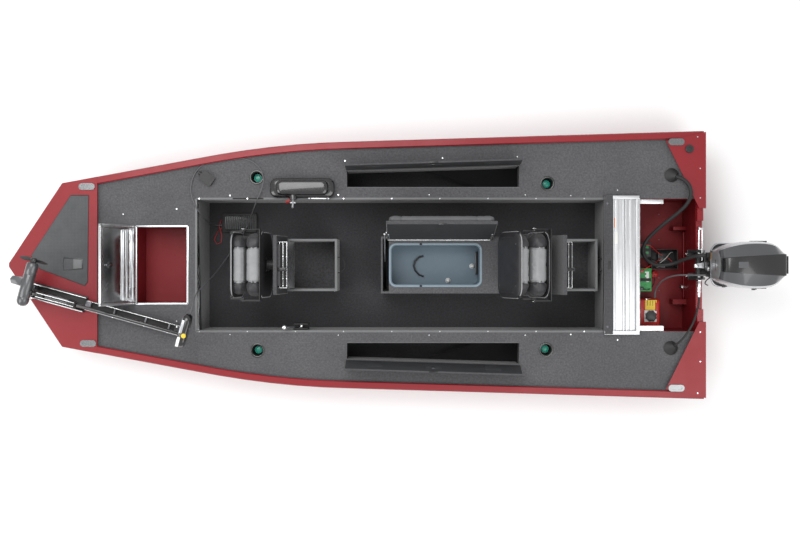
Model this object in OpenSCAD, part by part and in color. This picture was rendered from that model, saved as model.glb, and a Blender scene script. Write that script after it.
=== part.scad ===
/* [Hull] */
// Length of the hull from the transom to the tip of the bow
hull_length = 5180; // [4600:5800]
// Beam over the gunwales at the transom
beam = 1986; // [1800:2200]
// Height of the gunwale above the waterline
gunwale_height = 385; // [340:430]
// Depth of the keel below the waterline
draft = 160; // [120:190]
// Thickness of the hull's plate
plate = 6; // [4:8]
// Width of the chine at the transom
chine_beam = 1600; // [1400:1700]
// Length of the straight edges that close the bow
bow_cap_run = 390; // [330:440]

/* [Decks] */
// Height of the decks above the waterline
deck_height = 375; // [350:380]
// Thickness of a carpeted deck
deck_thickness = 15; // [12:18]
// Height of the cockpit floor over the waterline
floor_height = -40; // [-60:0]
// Half the width of the cockpit
cockpit_half = 489; // [470:510]
// Forward edge of the cockpit from midships
cockpit_fore = 1197; // [1150:1240]
// Aft edge of the cockpit from midships
cockpit_aft = -1855; // [-1900:-1830]
// Thickness of a bulkhead or a cockpit wall
wall = 20; // [14:24]

/* [Hatches] */
// Thickness of a hatch lid
lid_thickness = 24; // [18:26]
// How far the bow hatch stands open
bow_hatch_open = 114; // [80:116]
// How far the starboard rod locker lid stands open
rod_open_starboard = 97; // [80:110]
// How far the port rod locker lid stands open
rod_open_port = 108; // [80:112]
// How far the livewell lid stands open
livewell_open = 105; // [80:108]
// How far the fore seat's lid stands open
seat_open_fore = 96; // [80:100]
// How far the aft seat's lid stands open
seat_open_aft = 70; // [66:80]
// Length of a rod locker's opening
rod_locker_length = 1290; // [1100:1320]

/* [Boxes] */
// Height of a seat box over the waterline
seat_box_height = 300; // [280:310]
// Width of a seat box
seat_box_width = 394; // [360:420]
// Thickness of a box's walls
box_wall = 18; // [12:20]
// Length of the livewell's box
livewell_length = 905; // [860:910]
// Width of the livewell's box
livewell_width = 431; // [400:440]
// Height of the livewell's box over the waterline
livewell_height = 280; // [260:290]

/* [Seats] */
// Width of a seat
seat_width = 500; // [440:520]
// Depth of a seat's cushion
seat_depth = 400; // [360:420]
// Thickness of a seat's cushion
cushion_thickness = 110; // [90:115]
// Height of a seat's swivel
swivel_height = 95; // [92:110]

/* [Outboard] */
// Radius of the outboard's propeller
outboard_prop_radius = 125; // [110:130]
// Width of the engine cowl
cowl_width = 337; // [300:350]
// Length of the engine cowl
cowl_length = 514; // [460:520]
// Height of the engine cowl's top over the waterline
cowl_top = 905; // [860:930]

/* [Trolling motor] */
// Angle of the stowed motor to the boat's length
troll_angle = 15.5; // [12:18]
// Radius of the trolling motor's propeller
troll_prop_radius = 105; // [90:108]
// Height of the stowed shaft over the waterline
troll_shaft_height = 610; // [605:640]
// Radius of the shaft
troll_shaft_radius = 14; // [12:15]

/* [Hidden] */
$fn = 48;
fine = 32;
coarse = 20;
gap = 1;
stern = -hull_length / 2;
tip = hull_length / 2;
half = beam / 2;
deck_under = deck_height - deck_thickness;
straight_end = hull_length * 0.521;
bend_end = hull_length * 0.714;
bow_corner = hull_length - bow_cap_run;
slope_aft = 0.03;
slope_fore = 0.185;
rail_out = 8;
rail_in = 46;
rail_low = gunwale_height - 17;
rail_top = gunwale_height + 17;
cap_aft = 1937;
cap_top = rail_top;
hull_red = [0.55, 0.02, 0.05];
carpet_grey = [0.2, 0.2, 0.21];
metal_grey = [0.75, 0.76, 0.78];
trim_black = [0.06, 0.06, 0.07];
seat_grey = [0.45, 0.46, 0.48];
panel_red = [0.35, 0.03, 0.05];
tub_grey = [0.72, 0.76, 0.78];
cowl_grey = [0.12, 0.12, 0.13];

// a smooth curve through [place, value] pairs
function slope_at(p, i) =
  i == 0 ? (p[1][1] - p[0][1]) / (p[1][0] - p[0][0])
  : i == len(p) - 1 ? (p[i][1] - p[i - 1][1]) / (p[i][0] - p[i - 1][0])
  : (p[i + 1][1] - p[i - 1][1]) / (p[i + 1][0] - p[i - 1][0]);
function span_of(p, t, i = 0) =
  i >= len(p) - 2 || t < p[i + 1][0] ? i : span_of(p, t, i + 1);
function hermite(a, b, m, n, w, s) =
  (2 * s * s * s - 3 * s * s + 1) * a + (s * s * s - 2 * s * s + s) * w * m
  + (3 * s * s - 2 * s * s * s) * b + (s * s * s - s * s) * w * n;
function curve(p, t) =
  let (i = span_of(p, t), w = p[i + 1][0] - p[i][0])
  hermite(p[i][1], p[i + 1][1], slope_at(p, i), slope_at(p, i + 1), w, (t - p[i][0]) / w);

// half the beam at the gunwale, t forward of the transom
function bend_drop(t) =
  let (w = bend_end - straight_end, d = t - straight_end)
  d * slope_aft + d * d * (slope_fore - slope_aft) / (2 * w);
function side_beam(t) =
  t < straight_end ? half - slope_aft * t
  : t < bend_end ? half - slope_aft * straight_end - bend_drop(t)
  : half - slope_aft * straight_end - bend_drop(bend_end) - slope_fore * (t - bend_end);
function gunwale(t) =
  t < bow_corner ? side_beam(t)
  : side_beam(bow_corner) * (hull_length - t) / bow_cap_run;
chine_half = chine_beam / 2;
chine_y = [[0, chine_half], [2700, chine_half - 10], [3700, chine_half - 105],
  [4300, chine_half - 290], [4790, 250], [5000, 120], [5120, 40], [5180, 12]];
chine_z = [[0, 65 - draft], [2700, 65 - draft], [3700, -60], [4300, 25], [4790, 150],
  [5000, 230], [5120, 290], [5180, 330]];
keel_z = [[0, -draft], [3500, -draft], [4200, -125], [4600, -40], [4790, 30],
  [5000, 150], [5120, 250], [5180, 315]];
fit = hull_length / 5180;
function chine_y_at(t) = curve(chine_y, t / fit);
function chine_z_at(t) = curve(chine_z, t / fit);
function keel_at(t) = curve(keel_z, t / fit);
stations = [for (t = [0 : 190 : 4560]) t * fit];
bow_stations = [for (t = [4700, 4790, 4880, 4960, 5030, 5090, 5140]) t * fit];
all_stations = concat(stations, bow_stations);
// the side's outer line, bulged a little between chine and gunwale
function side_y(t, s) =
  let (c = chine_y_at(t), g = gunwale(t)) c + (g - c) * (s + 0.22 * s * (1 - s));
function side_z(t, s) =
  let (c = chine_z_at(t)) c + (gunwale_height - c) * s;
side_steps = [0, 0.25, 0.5, 0.75, 1];

// closed skin over rings that all have as many points
module loft(rings) {
  n = len(rings[0]);
  m = len(rings);
  points = [for (r = rings) for (p = r) p];
  sides = [for (i = [0 : m - 2]) for (j = [0 : n - 1]) for (k = [0, 1])
    let (a = i * n + j, b = i * n + (j + 1) % n, c = b + n, d = a + n)
    k == 0 ? [a, b, c] : [a, c, d]];
  ends = [[for (j = [n - 1 : -1 : 0]) j], [for (j = [0 : n - 1]) (m - 1) * n + j]];
  polyhedron(points, concat(sides, ends), convexity = 6);
}

function side_ring(t) = concat(
  [for (s = side_steps) [stern + t, side_y(t, s), side_z(t, s)]],
  [for (i = [len(side_steps) - 1 : -1 : 0])
    let (s = side_steps[i], up = i == 0 ? plate : 0)
    [stern + t, side_y(t, s) - plate, side_z(t, s) + up]]);
module hull_side_plate() loft([for (t = all_stations) side_ring(t)]);
module hull_sides() {
  color(hull_red) {
    hull_side_plate();
    mirror([0, 1, 0]) hull_side_plate();
  }
}

function bottom_ring(t) =
  let (x = stern + t, c = chine_y_at(t), z = chine_z_at(t), k = keel_at(t))
  [[x, c, z], [x, c - plate, z + plate], [x, 0, k + plate], [x, plate - c, z + plate],
   [x, -c, z], [x, 0, k]];
module hull_bottom() {
  color(metal_grey) loft([for (t = all_stations) bottom_ring(t)]);
}

// the space inside the plates
function space_half(t, e) = concat(
  [[chine_y_at(t) - plate - e, chine_z_at(t) + plate + e]],
  [for (i = [1 : len(side_steps) - 1])
    [side_y(t, side_steps[i]) - plate - e, side_z(t, side_steps[i]) + (i == 4 ? 200 : 0)]]);
function space_ring(t, e) =
  let (x = stern + t, h = space_half(t, e), k = keel_at(t) + plate + e)
  concat([[x, 0, k]], [for (p = h) [x, p[0], p[1]]],
    [for (i = [len(h) - 1 : -1 : 0]) [x, -h[i][0], h[i][1]]]);
space_stations = [for (t = all_stations) if (t < 5000 * fit) t];
module hull_space() 
  loft([for (t = space_stations) space_ring(t, 1.5)]);

// a plate across the hull at height z, from x0 to x1
function inner_y(t, z) =
  let (c = chine_z_at(t)) side_y(t, (z - c) / (gunwale_height - c)) - plate - 2.5;
function deck_y(t, z) = inner_y(t, z) - 4;
function plate_line(x0, x1, z) = concat([[x0, deck_y(x0 - stern, z)]],
  [for (t = all_stations) if (stern + t > x0 + 5 && stern + t < x1 - 5)
    [stern + t, deck_y(t, z)]], [[x1, deck_y(x1 - stern, z)]]);
module deck_plate(x0, x1, z, h) {
  line = plate_line(x0, x1, z);
  translate([0, 0, z]) linear_extrude(h) polygon(concat(line,
    [for (i = [len(line) - 1 : -1 : 0]) [line[i][0], -line[i][1]]]));
}

module block(x0, x1, y0, y1, z0, z1) {
  translate([min(x0, x1), min(y0, y1), min(z0, z1)])
    cube([abs(x1 - x0), abs(y1 - y0), abs(z1 - z0)]);
}
// a plate with rounded corners, about its centre in plan
module pad(w, d, h, r) {
  linear_extrude(h) offset(r) square([w - 2 * r, d - 2 * r], center = true);
}
module round_plate(w, d, h, r) {
  linear_extrude(h) round_outline(w, d, r);
}
module round_outline(w, d, r) {
  hull() for (x = [r - w / 2, w / 2 - r], y = [r - d / 2, d / 2 - r])
    translate([x, y]) circle(r);
}
module rod(a, b, r) {
  v = b - a;
  l = norm(v);
  translate(a) rotate([0, acos(v[2] / l), atan2(v[1], v[0])]) cylinder(h = l, r = r);
}

// transom with the cut-out for the outboard
transom_thickness = 45;
cutout_half = 330;
cutout_z = gunwale_height - 35;
function transom_line(s) = concat(
  [[0, keel_at(0) + plate + 3], [s * (chine_y_at(0) - plate - 3), chine_z_at(0) + plate + 3]],
  [for (z = [0 : 96 : gunwale_height - 1]) [s * inner_y(0, z), z]],
  [[s * inner_y(0, gunwale_height), gunwale_height], [s * cutout_half, gunwale_height],
    [s * cutout_half, cutout_z], [0, cutout_z]]);
module transom() {
  line = transom_line(1);
  color(hull_red) translate([stern + transom_thickness, 0, 0]) rotate([90, 0, -90])
    linear_extrude(transom_thickness - gap)
      polygon(concat(line, [for (i = [len(line) - 2 : -1 : 1]) [-line[i][0], line[i][1]]]));
}

rail_stations = [for (t = all_stations) if (t < (cap_aft - stern) - 20) t];
function rail_ring(t) =
  let (x = stern + t, y = gunwale(t))
  [[x, y + rail_out, rail_low], [x, y + 0.6, rail_low], [x, y + 0.6, gunwale_height + gap],
   [x, y - rail_in, gunwale_height + gap], [x, y - rail_in, rail_top - 6],
   [x, y - rail_in + 6, rail_top], [x, y, rail_top], [x, y + rail_out, rail_top - 10]];
module one_rail() loft([for (t = concat(rail_stations, [cap_aft - stern - gap])) rail_ring(t)]);
module gunwale_rails() {
  color(hull_red) {
    one_rail();
    mirror([0, 1, 0]) one_rail();
    corner_cap();
    mirror([0, 1, 0]) corner_cap();
  }
}

cap_stations = concat([cap_aft - stern], [for (t = all_stations)
  if (t > cap_aft - stern && t <= bow_corner) t]);
function cap_points(e) = concat(
  [for (t = cap_stations) [stern + t, gunwale(t) + rail_out - e]], [[tip + 6 - e, 14]],
  [[tip + 6 - e, -14]],
  [for (i = [len(cap_stations) - 1 : -1 : 0])
    [stern + cap_stations[i], e - gunwale(cap_stations[i]) - rail_out]]);
module bow_cap() {
  color(hull_red) {
    translate([0, 0, gunwale_height + gap]) linear_extrude(cap_top - gunwale_height - gap - 4)
      polygon(cap_points(0));
    translate([0, 0, cap_top - 4]) linear_extrude(4) polygon(cap_points(5));
  }
}

// bow deck with its hatch opening
hatch_fore = 1647;
hatch_aft = 1275;
hatch_half = 284;
module bow_deck() {
  color(carpet_grey) difference() {
    deck_plate(cockpit_fore, 2120, deck_under, deck_thickness);
    block(hatch_aft, hatch_fore, -hatch_half, hatch_half, 0, gunwale_height + 90);
  }
}
tray_wall = 8;
tray_depth = 290;
module bow_hatch_tray() {
  color(panel_red) difference() {
    block(hatch_aft - tray_wall, hatch_fore + tray_wall, -hatch_half - tray_wall,
      hatch_half + tray_wall, deck_under - tray_depth, deck_under - 0.2);
    block(hatch_aft, hatch_fore, -hatch_half, hatch_half, deck_under - tray_depth + tray_wall,
      deck_height);
  }
}
module bulkheads() {
  color(carpet_grey) for (x = [cockpit_fore, cockpit_aft]) intersection() {
    hull_space();
    block(x - wall, x, -beam, beam, floor_height + 0.2, deck_under - 0.2);
  }
}
floor_thickness = 15;
module cockpit_floor() {
  color(carpet_grey) intersection() {
    hull_space();
    block(stern + transom_thickness + gap, cockpit_fore + 8, -beam, beam, floor_height - floor_thickness,
      floor_height);
  }
}

// rod locker openings follow the gunwale
rod_fore = 75;
rod_aft = rod_fore - rod_locker_length;
rod_in = 584;
rod_out_fore = 702;
rod_out_aft = 742;
rod_outline = [[rod_fore, rod_in], [rod_aft, rod_in], [rod_aft, rod_out_aft],
  [rod_fore, rod_out_fore]];
cup_spots = [[751, -656], [745, 639], [-1425, -611], [-1415, 634]];
cup_radius = 45;
module rod_opening() {
  translate([0, 0, deck_under - 10]) linear_extrude(99) polygon(rod_outline);
}
module side_decks() {
  color(carpet_grey) difference() {
    deck_plate(cockpit_aft, cockpit_fore - gap / 2, deck_under, deck_thickness);
    block(cockpit_aft - 9, cockpit_fore + 9, -cockpit_half, cockpit_half, 0, deck_height + 99);
    rod_opening();
    mirror([0, 1, 0]) rod_opening();
    for (c = cup_spots) translate([c[0], c[1], deck_under - 10]) cylinder(h = 99, r = cup_radius + 0.5);
  }
}
module cockpit_walls() {
  color(carpet_grey) for (s = [-1, 1])
    block(cockpit_aft + 0.2, cockpit_fore - wall - 0.2, s * cockpit_half,
      s * (cockpit_half + wall), floor_height + 0.2, deck_under - 0.2);
}
locker_floor = 90;
module rod_locker_half() {
  intersection() {
    hull_space();
    difference() {
      block(rod_aft - 30, rod_fore + 30, cockpit_half + wall + 0.2, beam,
        locker_floor - 12, deck_under - 0.2);
      block(rod_aft - 18, rod_fore + 18, 0, beam + 99, locker_floor, deck_under + 99);
    }
  }
}
module rod_lockers() {
  color(trim_black) {
    rod_locker_half();
    mirror([0, 1, 0]) rod_locker_half();
  }
}

well_fore = -2110;
well_half = 498;
module aft_deck() {
  color(carpet_grey) difference() {
    deck_plate(stern + transom_thickness + gap, cockpit_aft - 0.5, deck_under, deck_thickness);
    block(stern, well_fore, -well_half, well_half, deck_under - 10, deck_height + 99);
  }
}
module well_sides() {
  color(hull_red) for (s = [-1, 1])
    block(stern + transom_thickness + gap, cockpit_aft - wall - gap, s * well_half,
      s * (well_half + 5), floor_height + 0.2, deck_under - 0.2);
}

module corner_cap() {
  translate([0, 0, rail_top + 0.4]) linear_extrude(6)
    polygon([[-2305, 925], [-2603, 992], [-2603, 423], [-2553, 423]]);
}
light_spot = [-2478, -865];
light_radius = 30;
light_bore = 12;
module light_socket() {
  color(trim_black) translate([light_spot[0], light_spot[1], rail_top + 6.6]) difference() {
    cylinder(h = 12, r = light_radius);
    translate([0, 0, 2]) cylinder(h = 30, r = light_bore);
  }
}

cup_depth = 84;
cup_wall = 3;
module cup_holders() {
  color(trim_black) for (c = cup_spots) translate([c[0], c[1], 0]) difference() {
    union() {
      translate([0, 0, deck_height + 0.2]) cylinder(h = 4, r = cup_radius + 9);
      translate([0, 0, deck_height - cup_depth]) cylinder(h = cup_depth + 2, r = cup_radius);
    }
    translate([0, 0, deck_height - cup_depth + cup_wall])
      cylinder(h = cup_depth + 20, r = cup_radius - cup_wall);
  }
}
cleat_spots = [[2013, -585, 0], [2003, 585, 0], [-2381, -917, 6.4], [-2381, 917, 6.4]];
module cleats() {
  color(metal_grey) for (c = cleat_spots)
    translate([c[0], c[1], rail_top + 0.2 + c[2]]) difference() {
      round_plate(120, 50, 9, 24.9);
      translate([0, 0, 5]) round_plate(84, 26, 9, 12.9);
    }
}
eye_rod = 6;
bow_eye_z = 300;
eye_reach = 22;
module eye() {
  rotate([90, 0, 0]) rotate_extrude() translate([eye_reach, 0]) circle(eye_rod, $fn = fine);
}
module tow_eyes() {
  color(metal_grey) {
    translate([tip + 14, 0, bow_eye_z]) eye();
    for (s = [-1, 1]) translate([stern - eye_reach - eye_rod - 0.4, s * 620, 120]) eye();
  }
}

// seat boxes, lids and seats
fore_box_fore = 528;
fore_box_aft = 153;
aft_box_fore = -1370;
aft_box_aft = -1815;
module open_box(x0, x1, w, z) {
  difference() {
    block(x0, x1, -w / 2, w / 2, floor_height + 0.2, z);
    block(x0 + box_wall, x1 - box_wall, box_wall - w / 2, w / 2 - box_wall,
      floor_height + box_wall, z + 99);
  }
}
module seat_box_fore() {
  color(carpet_grey) open_box(fore_box_aft, fore_box_fore, seat_box_width, seat_box_height);
}
module seat_box_aft() {
  color(carpet_grey) open_box(aft_box_aft, aft_box_fore, seat_box_width, seat_box_height);
}
lid_lift = 2;
seat_lid_width = 430;
// closed lid: the hinge is at the origin and the lid runs aft
module seat_lid(length) {
  translate([-length, -seat_lid_width / 2, 0]) cube([length, seat_lid_width, lid_thickness]);
  translate([-length / 2 - 10, 0, -16]) linear_extrude(15.9) difference() {
    square([length - 90, seat_box_width - 90], center = true);
    square([length - 120, seat_box_width - 120], center = true);
  }
}
seat_centre = 200;
module on_fore_lid() {
  translate([fore_box_fore, 0, seat_box_height + lid_lift]) rotate([0, seat_open_fore, 0])
    children();
}
module on_aft_lid() {
  translate([aft_box_fore, 0, seat_box_height + lid_lift]) rotate([0, seat_open_aft, 0])
    children();
}
fore_lid_length = fore_box_fore - fore_box_aft + 6;
aft_lid_length = aft_box_fore - aft_box_aft - 6;
swivel_base_height = 30;
module swivel_base() {
  translate([-seat_centre, 0, lid_thickness + 0.1]) {
    round_plate(180, 180, 6, 20);
    cylinder(h = swivel_base_height, r = 62);
  }
}
module seat_lid_fore() {
  color(carpet_grey) on_fore_lid() {
    seat_lid(fore_lid_length);
    swivel_base();
  }
}
module seat_lid_aft() {
  color(carpet_grey) on_aft_lid() {
    seat_lid(aft_lid_length);
    swivel_base();
  }
}
cushion_low = lid_thickness + swivel_height;
module seat_pan() {
  translate([-seat_centre, 0, 0]) {
    translate([0, 0, lid_thickness + swivel_base_height + 0.6]) {
      cylinder(h = swivel_height - swivel_base_height - 8, r = 40);
    }
    translate([0, 0, cushion_low - 8]) round_plate(seat_depth - 30, seat_width - 60, 8, 60);
  }
  block(back_hinge_x - 22, back_hinge_x + 22, -seat_width / 2 - 9, seat_width / 2 + 9,
    cushion_low - 8, cushion_low);
  for (s = [-1, 1]) block(back_hinge_x - 16, back_hinge_x + 16, s * (seat_width / 2 + 3),
    s * (seat_width / 2 + 9), cushion_low - 8, back_hinge_z + 12);
}
module seat_cushion() {
  translate([-seat_centre, 0, cushion_low + 0.1])
    round_plate(seat_depth, seat_width, cushion_thickness, 80);
}
module seat_pan_fore() {
  color(trim_black) on_fore_lid() seat_pan();
}
module seat_cushion_fore() {
  color(seat_grey) on_fore_lid() seat_cushion();
}
module seat_pan_aft() {
  color(trim_black) on_aft_lid() seat_pan();
}
module seat_cushion_aft() {
  color(seat_grey) on_aft_lid() seat_cushion();
}
back_gap = 24;
back_low = cushion_low + cushion_thickness + back_gap;
back_thickness = 105;
back_hinge_x = -seat_centre - seat_depth / 2 + 4;
back_hinge_z = cushion_low + cushion_thickness + back_gap / 2;
module seat_back() {
  translate([-seat_centre + 5, 0, back_low]) {
    round_plate(seat_depth - 20, seat_width - 20, back_thickness, 80);
  }
}
module seat_back_fore() {
  color(seat_grey) on_fore_lid() seat_back();
}
module seat_back_aft() {
  color(seat_grey) on_aft_lid() seat_back();
}

// livewell
well_box_fore = -178;
well_box_aft = well_box_fore - livewell_length;
strut_x = -207;
basin_fore = -250;
basin_aft = -932;
basin_half = 155;
basin_wall = 7;
module livewell_box() {
  color(carpet_grey) difference() {
    block(well_box_aft, well_box_fore, -livewell_width / 2, livewell_width / 2,
      floor_height + 0.2, livewell_height);
    block(well_box_aft + box_wall, well_box_fore - 12, box_wall - livewell_width / 2,
      livewell_width / 2 - box_wall, floor_height + box_wall, livewell_height - 14);
    block(well_box_fore - 60, well_box_fore - 12, 14 - livewell_width / 2,
      livewell_width / 2 - 14, 0, livewell_height + 20);
    block(basin_aft - 1, basin_fore + 1, -basin_half - 1, basin_half + 1, livewell_height - 60,
      livewell_height + 20);
  }
}
basin_depth = 250;
module livewell_basin() {
  color(tub_grey) translate([(basin_fore + basin_aft) / 2, 0, 0]) difference() {
    union() {
      translate([0, 0, livewell_height - basin_depth])
        round_plate(basin_fore - basin_aft, 2 * basin_half, basin_depth + 1, 45);
      translate([0, 0, livewell_height + 0.2])
        round_plate(basin_fore - basin_aft + 24, 2 * basin_half + 24, 3, 52);
    }
    translate([0, 0, livewell_height - basin_depth + basin_wall])
      round_plate(basin_fore - basin_aft - 2 * basin_wall, 2 * basin_half - 2 * basin_wall,
        basin_depth + 20, 38);
  }
}
lid_hinge_y = -190;
lid_fore = -222;
lid_aft = -1026;
lid_reach = 408;
well_lid_z = livewell_height + 8;
module on_well_lid() {
  translate([0, lid_hinge_y, well_lid_z]) rotate([livewell_open, 0, 0]) children();
}
module livewell_lid() {
  color(carpet_grey) on_well_lid() {
    block(lid_aft, lid_fore, 0, lid_reach, 0, lid_thickness);
    translate([lid_aft + 20, 0, 0]) rotate([0, 90, 0]) cylinder(h = lid_fore - lid_aft - 40, r = 5);
  }
}
pad_thickness = 48;
module livewell_pad() {
  color(seat_grey) on_well_lid()
    translate([(lid_fore + lid_aft) / 2, lid_reach / 2 + 6, lid_thickness + 0.2])
      round_plate(lid_fore - lid_aft - 6, lid_reach - 12, pad_thickness, 30);
}
// gas strut: the eye is on a stud in the lid's edge
stud_reach = 150;
strut_low = [strut_x, 172, -5];
function lid_point(r, a) =
  [strut_x, lid_hinge_y + r * cos(a), well_lid_z + lid_thickness / 2 + r * sin(a)];
strut_high = lid_point(stud_reach, livewell_open);
strut_dir = (strut_high - strut_low) / norm(strut_high - strut_low);
strut_total = norm(strut_high - strut_low);
strut_body = 300;
strut_radius = 9;
module strut_cylinder() {
  color(trim_black) difference() {
    union() {
      rod(strut_low, strut_low + strut_dir * strut_body, strut_radius);
      translate(strut_low) sphere(11, $fn = fine);
    }
    rod(strut_low + strut_dir * 22, strut_low + strut_dir * (strut_body + 9), 6);
  }
}
module strut_rod() {
  color(metal_grey) {
    rod(strut_low + strut_dir * (strut_body - 22), strut_high - strut_dir * 8, 4.5);
    translate(strut_high) sphere(9, $fn = fine);
  }
}

// hatch lids
hatch_lift = 13;
bow_hinge_x = hatch_fore + 14;
bow_lid_length = bow_hinge_x - hatch_aft + 12;
module barrel(length, r) {
  rotate([90, 0, 0]) cylinder(h = length, r = r, center = true);
}
module lid_tray(length, width, t, skin) {
  barrel(width - 40, 6);
  difference() {
    block(-length, 0, -width / 2, width / 2, -t / 2, t / 2);
    block(-length + 24, -24, 24 - width / 2, width / 2 - 24, -t / 2 - 1, t / 2 - skin);
  }
}
module bow_hatch_lid() {
  color(metal_grey) translate([bow_hinge_x, 0, deck_height + hatch_lift])
    rotate([0, bow_hatch_open, 0]) lid_tray(bow_lid_length, 2 * hatch_half + 24, lid_thickness, 5);
}
stern_lid_length = 262;
stern_lid_width = 1040;
module stern_hatch_lid() {
  color(metal_grey) translate([well_fore, 0, deck_height + hatch_lift])
    rotate([0, 180, 0]) lid_tray(stern_lid_length, stern_lid_width, lid_thickness, 5);
}
rod_turn = atan((rod_out_aft - rod_out_fore) / rod_locker_length);
rod_lid_width = 172;
rod_lid_length = rod_locker_length + 24;
rod_hinge_y = rod_out_fore + 10;
module rod_lid(open) {
  translate([rod_fore + 12, rod_hinge_y, deck_height + 6]) rotate([0, 0, -rod_turn])
    rotate([-open, 0, 0]) {
      translate([-rod_lid_length, -rod_lid_width, -5]) cube([rod_lid_length, rod_lid_width, 10]);
      translate([-20, 0, 0]) rotate([0, -90, 0]) cylinder(h = rod_lid_length - 40, r = 5);
    }
}
module rod_lid_port() {
  color(carpet_grey) rod_lid(rod_open_port);
}
module rod_lid_starboard() {
  color(carpet_grey) mirror([0, 1, 0]) rod_lid(rod_open_starboard);
}

// stern gear
module batteries() {
  color(trim_black) {
    block(-2255, -2160, 26, 200, floor_height + 0.2, 160);
    block(-2255, -2165, -172, -60, floor_height + 0.2, 150);
    block(-2485, -2280, -123, 32, floor_height + 0.2, 60);
  }
}
module fuel_tank() {
  color(hull_red) translate([-2236, 374, floor_height + 0.2]) {
    round_plate(180, 232, 200, 22);
    cylinder(h = 222, r = 38, $fn = 8);
  }
}
boot_spots = [[-2354, -672, -795, 436, 421, 22], [-2347, 621, -609, -609, 548, 16]];
boot_tops = [[-2380, -661, 410], [-2368, 601, 411]];
plug_spot = [1120, -648];
module deck_sockets() {
  color(trim_black) {
    for (i = [0, 1]) let (b = boot_spots[i], t = boot_tops[i], d = unit([b[2], b[3], b[4]]))
      hull() {
        translate([b[0], b[1], deck_height + 0.2]) cylinder(h = 7, r = 52);
        rod(t - d * 4.4, t - d * 0.4, b[5]);
      }
    translate([plug_spot[0], plug_spot[1], deck_height + 0.2]) rotate([0, 0, -35]) {
      round_plate(105, 80, 26, 12);
      translate([50, 0, 14]) rotate([0, 90, 0]) cylinder(h = 24, r = 12);
    }
  }
}

// controls
module control_console() {
  color(trim_black) {
    translate([405, -574, deck_height + 0.2]) {
      round_plate(480, 146, 62, 50);
      translate([20, 0, 0]) round_plate(380, 110, 92, 40);
    }
    translate([473, -492, deck_height + 50]) rotate([90, 0, 0]) cylinder(h = 40, r = 30);
    rod([473, -480, deck_height + 56], [473, -420, deck_height + 92], 7);
    stick_base();
  }
}
stick_y = cockpit_half - 27;
stick_pivot = [427, stick_y, 270];
stick_knob = [538, stick_y, 440];
module stick_base() {
  difference() {
    block(370, 480, cockpit_half - 50, cockpit_half - 0.3, 210, 330);
    block(340, 520, stick_y - 12, stick_y + 12, 240, 360);
  }
}
module steering_stick() {
  color(metal_grey) {
    rod(stick_pivot, stick_knob, 6);
    translate(stick_knob) sphere(20, $fn = fine);
    translate(stick_pivot + [0, 7, 0]) rotate([90, 0, 0]) cylinder(h = 14, r = 14);
  }
}
module foot_pedal() {
  color(trim_black) translate([940, -332, floor_height + 0.2]) {
    round_plate(275, 150, 22, 20);
    translate([0, 0, 22]) difference() {
      round_plate(230, 110, 60, 16);
      translate([-150, -99, 0]) rotate([0, -11, 0]) translate([0, 0, 24]) cube([400, 200, 200]);
    }
  }
}
// outboard
bracket_half = 110;
cheek = [[-2598, 352], [-2480, 352], [-2490, 385], [-2522, 444], [-2568, 444], [-2598, 400]];
tilt_x = -2545;
tilt_z = 425;
steer_x = -2692;
module clamp_bracket() {
  color(trim_black) {
    for (s = [-1, 1]) {
      block(stern - 8, stern - 0.6, s * 60, s * bracket_half, 80, cutout_z + 0.8);
      block(stern - 8, -2480, s * 60, s * bracket_half, cutout_z + 0.8, cutout_z + 15);
      block(stern + transom_thickness + 0.6, -2532, s * 60, s * bracket_half, 250,
        cutout_z + 0.8);
      translate([0, s * (bracket_half - 9) + 9, 0]) rotate([90, 0, 0]) linear_extrude(18)
        polygon(cheek);
      rod([-2532, s * 84, 300], [-2474, s * 84, 300], 9);
    }
    translate([tilt_x, 200, tilt_z]) rotate([90, 0, 0]) cylinder(h = 310, r = 12);
    translate([tilt_x, 238, tilt_z]) rotate([90, 0, 0]) cylinder(h = 119, r = 16);
    translate([tilt_x, -100, tilt_z]) rotate([90, 0, 0]) cylinder(h = 175, r = 8);
  }
}
module swivel_bracket() {
  color(trim_black) difference() {
    union() {
      translate([tilt_x, 86, tilt_z]) rotate([90, 0, 0]) cylinder(h = 172, r = 26);
      block(steer_x - 20, tilt_x, -70, 70, tilt_z - 18, tilt_z + 18);
      translate([steer_x, 0, 0]) cylinder(h = tilt_z + 18, r = 38);
      block(steer_x, stern - 15, -34, 34, 10, tilt_z);
    }
    translate([tilt_x, 99, tilt_z]) rotate([90, 0, 0]) cylinder(h = 198, r = 12.6);
    translate([steer_x, 0, -50]) cylinder(h = 600, r = 18);
  }
}
leg_x = -2790;
arm_z = 498;
head_top = 504;
plate_z = -178;
gear_z = -318;
prop_x = -2925;
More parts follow.
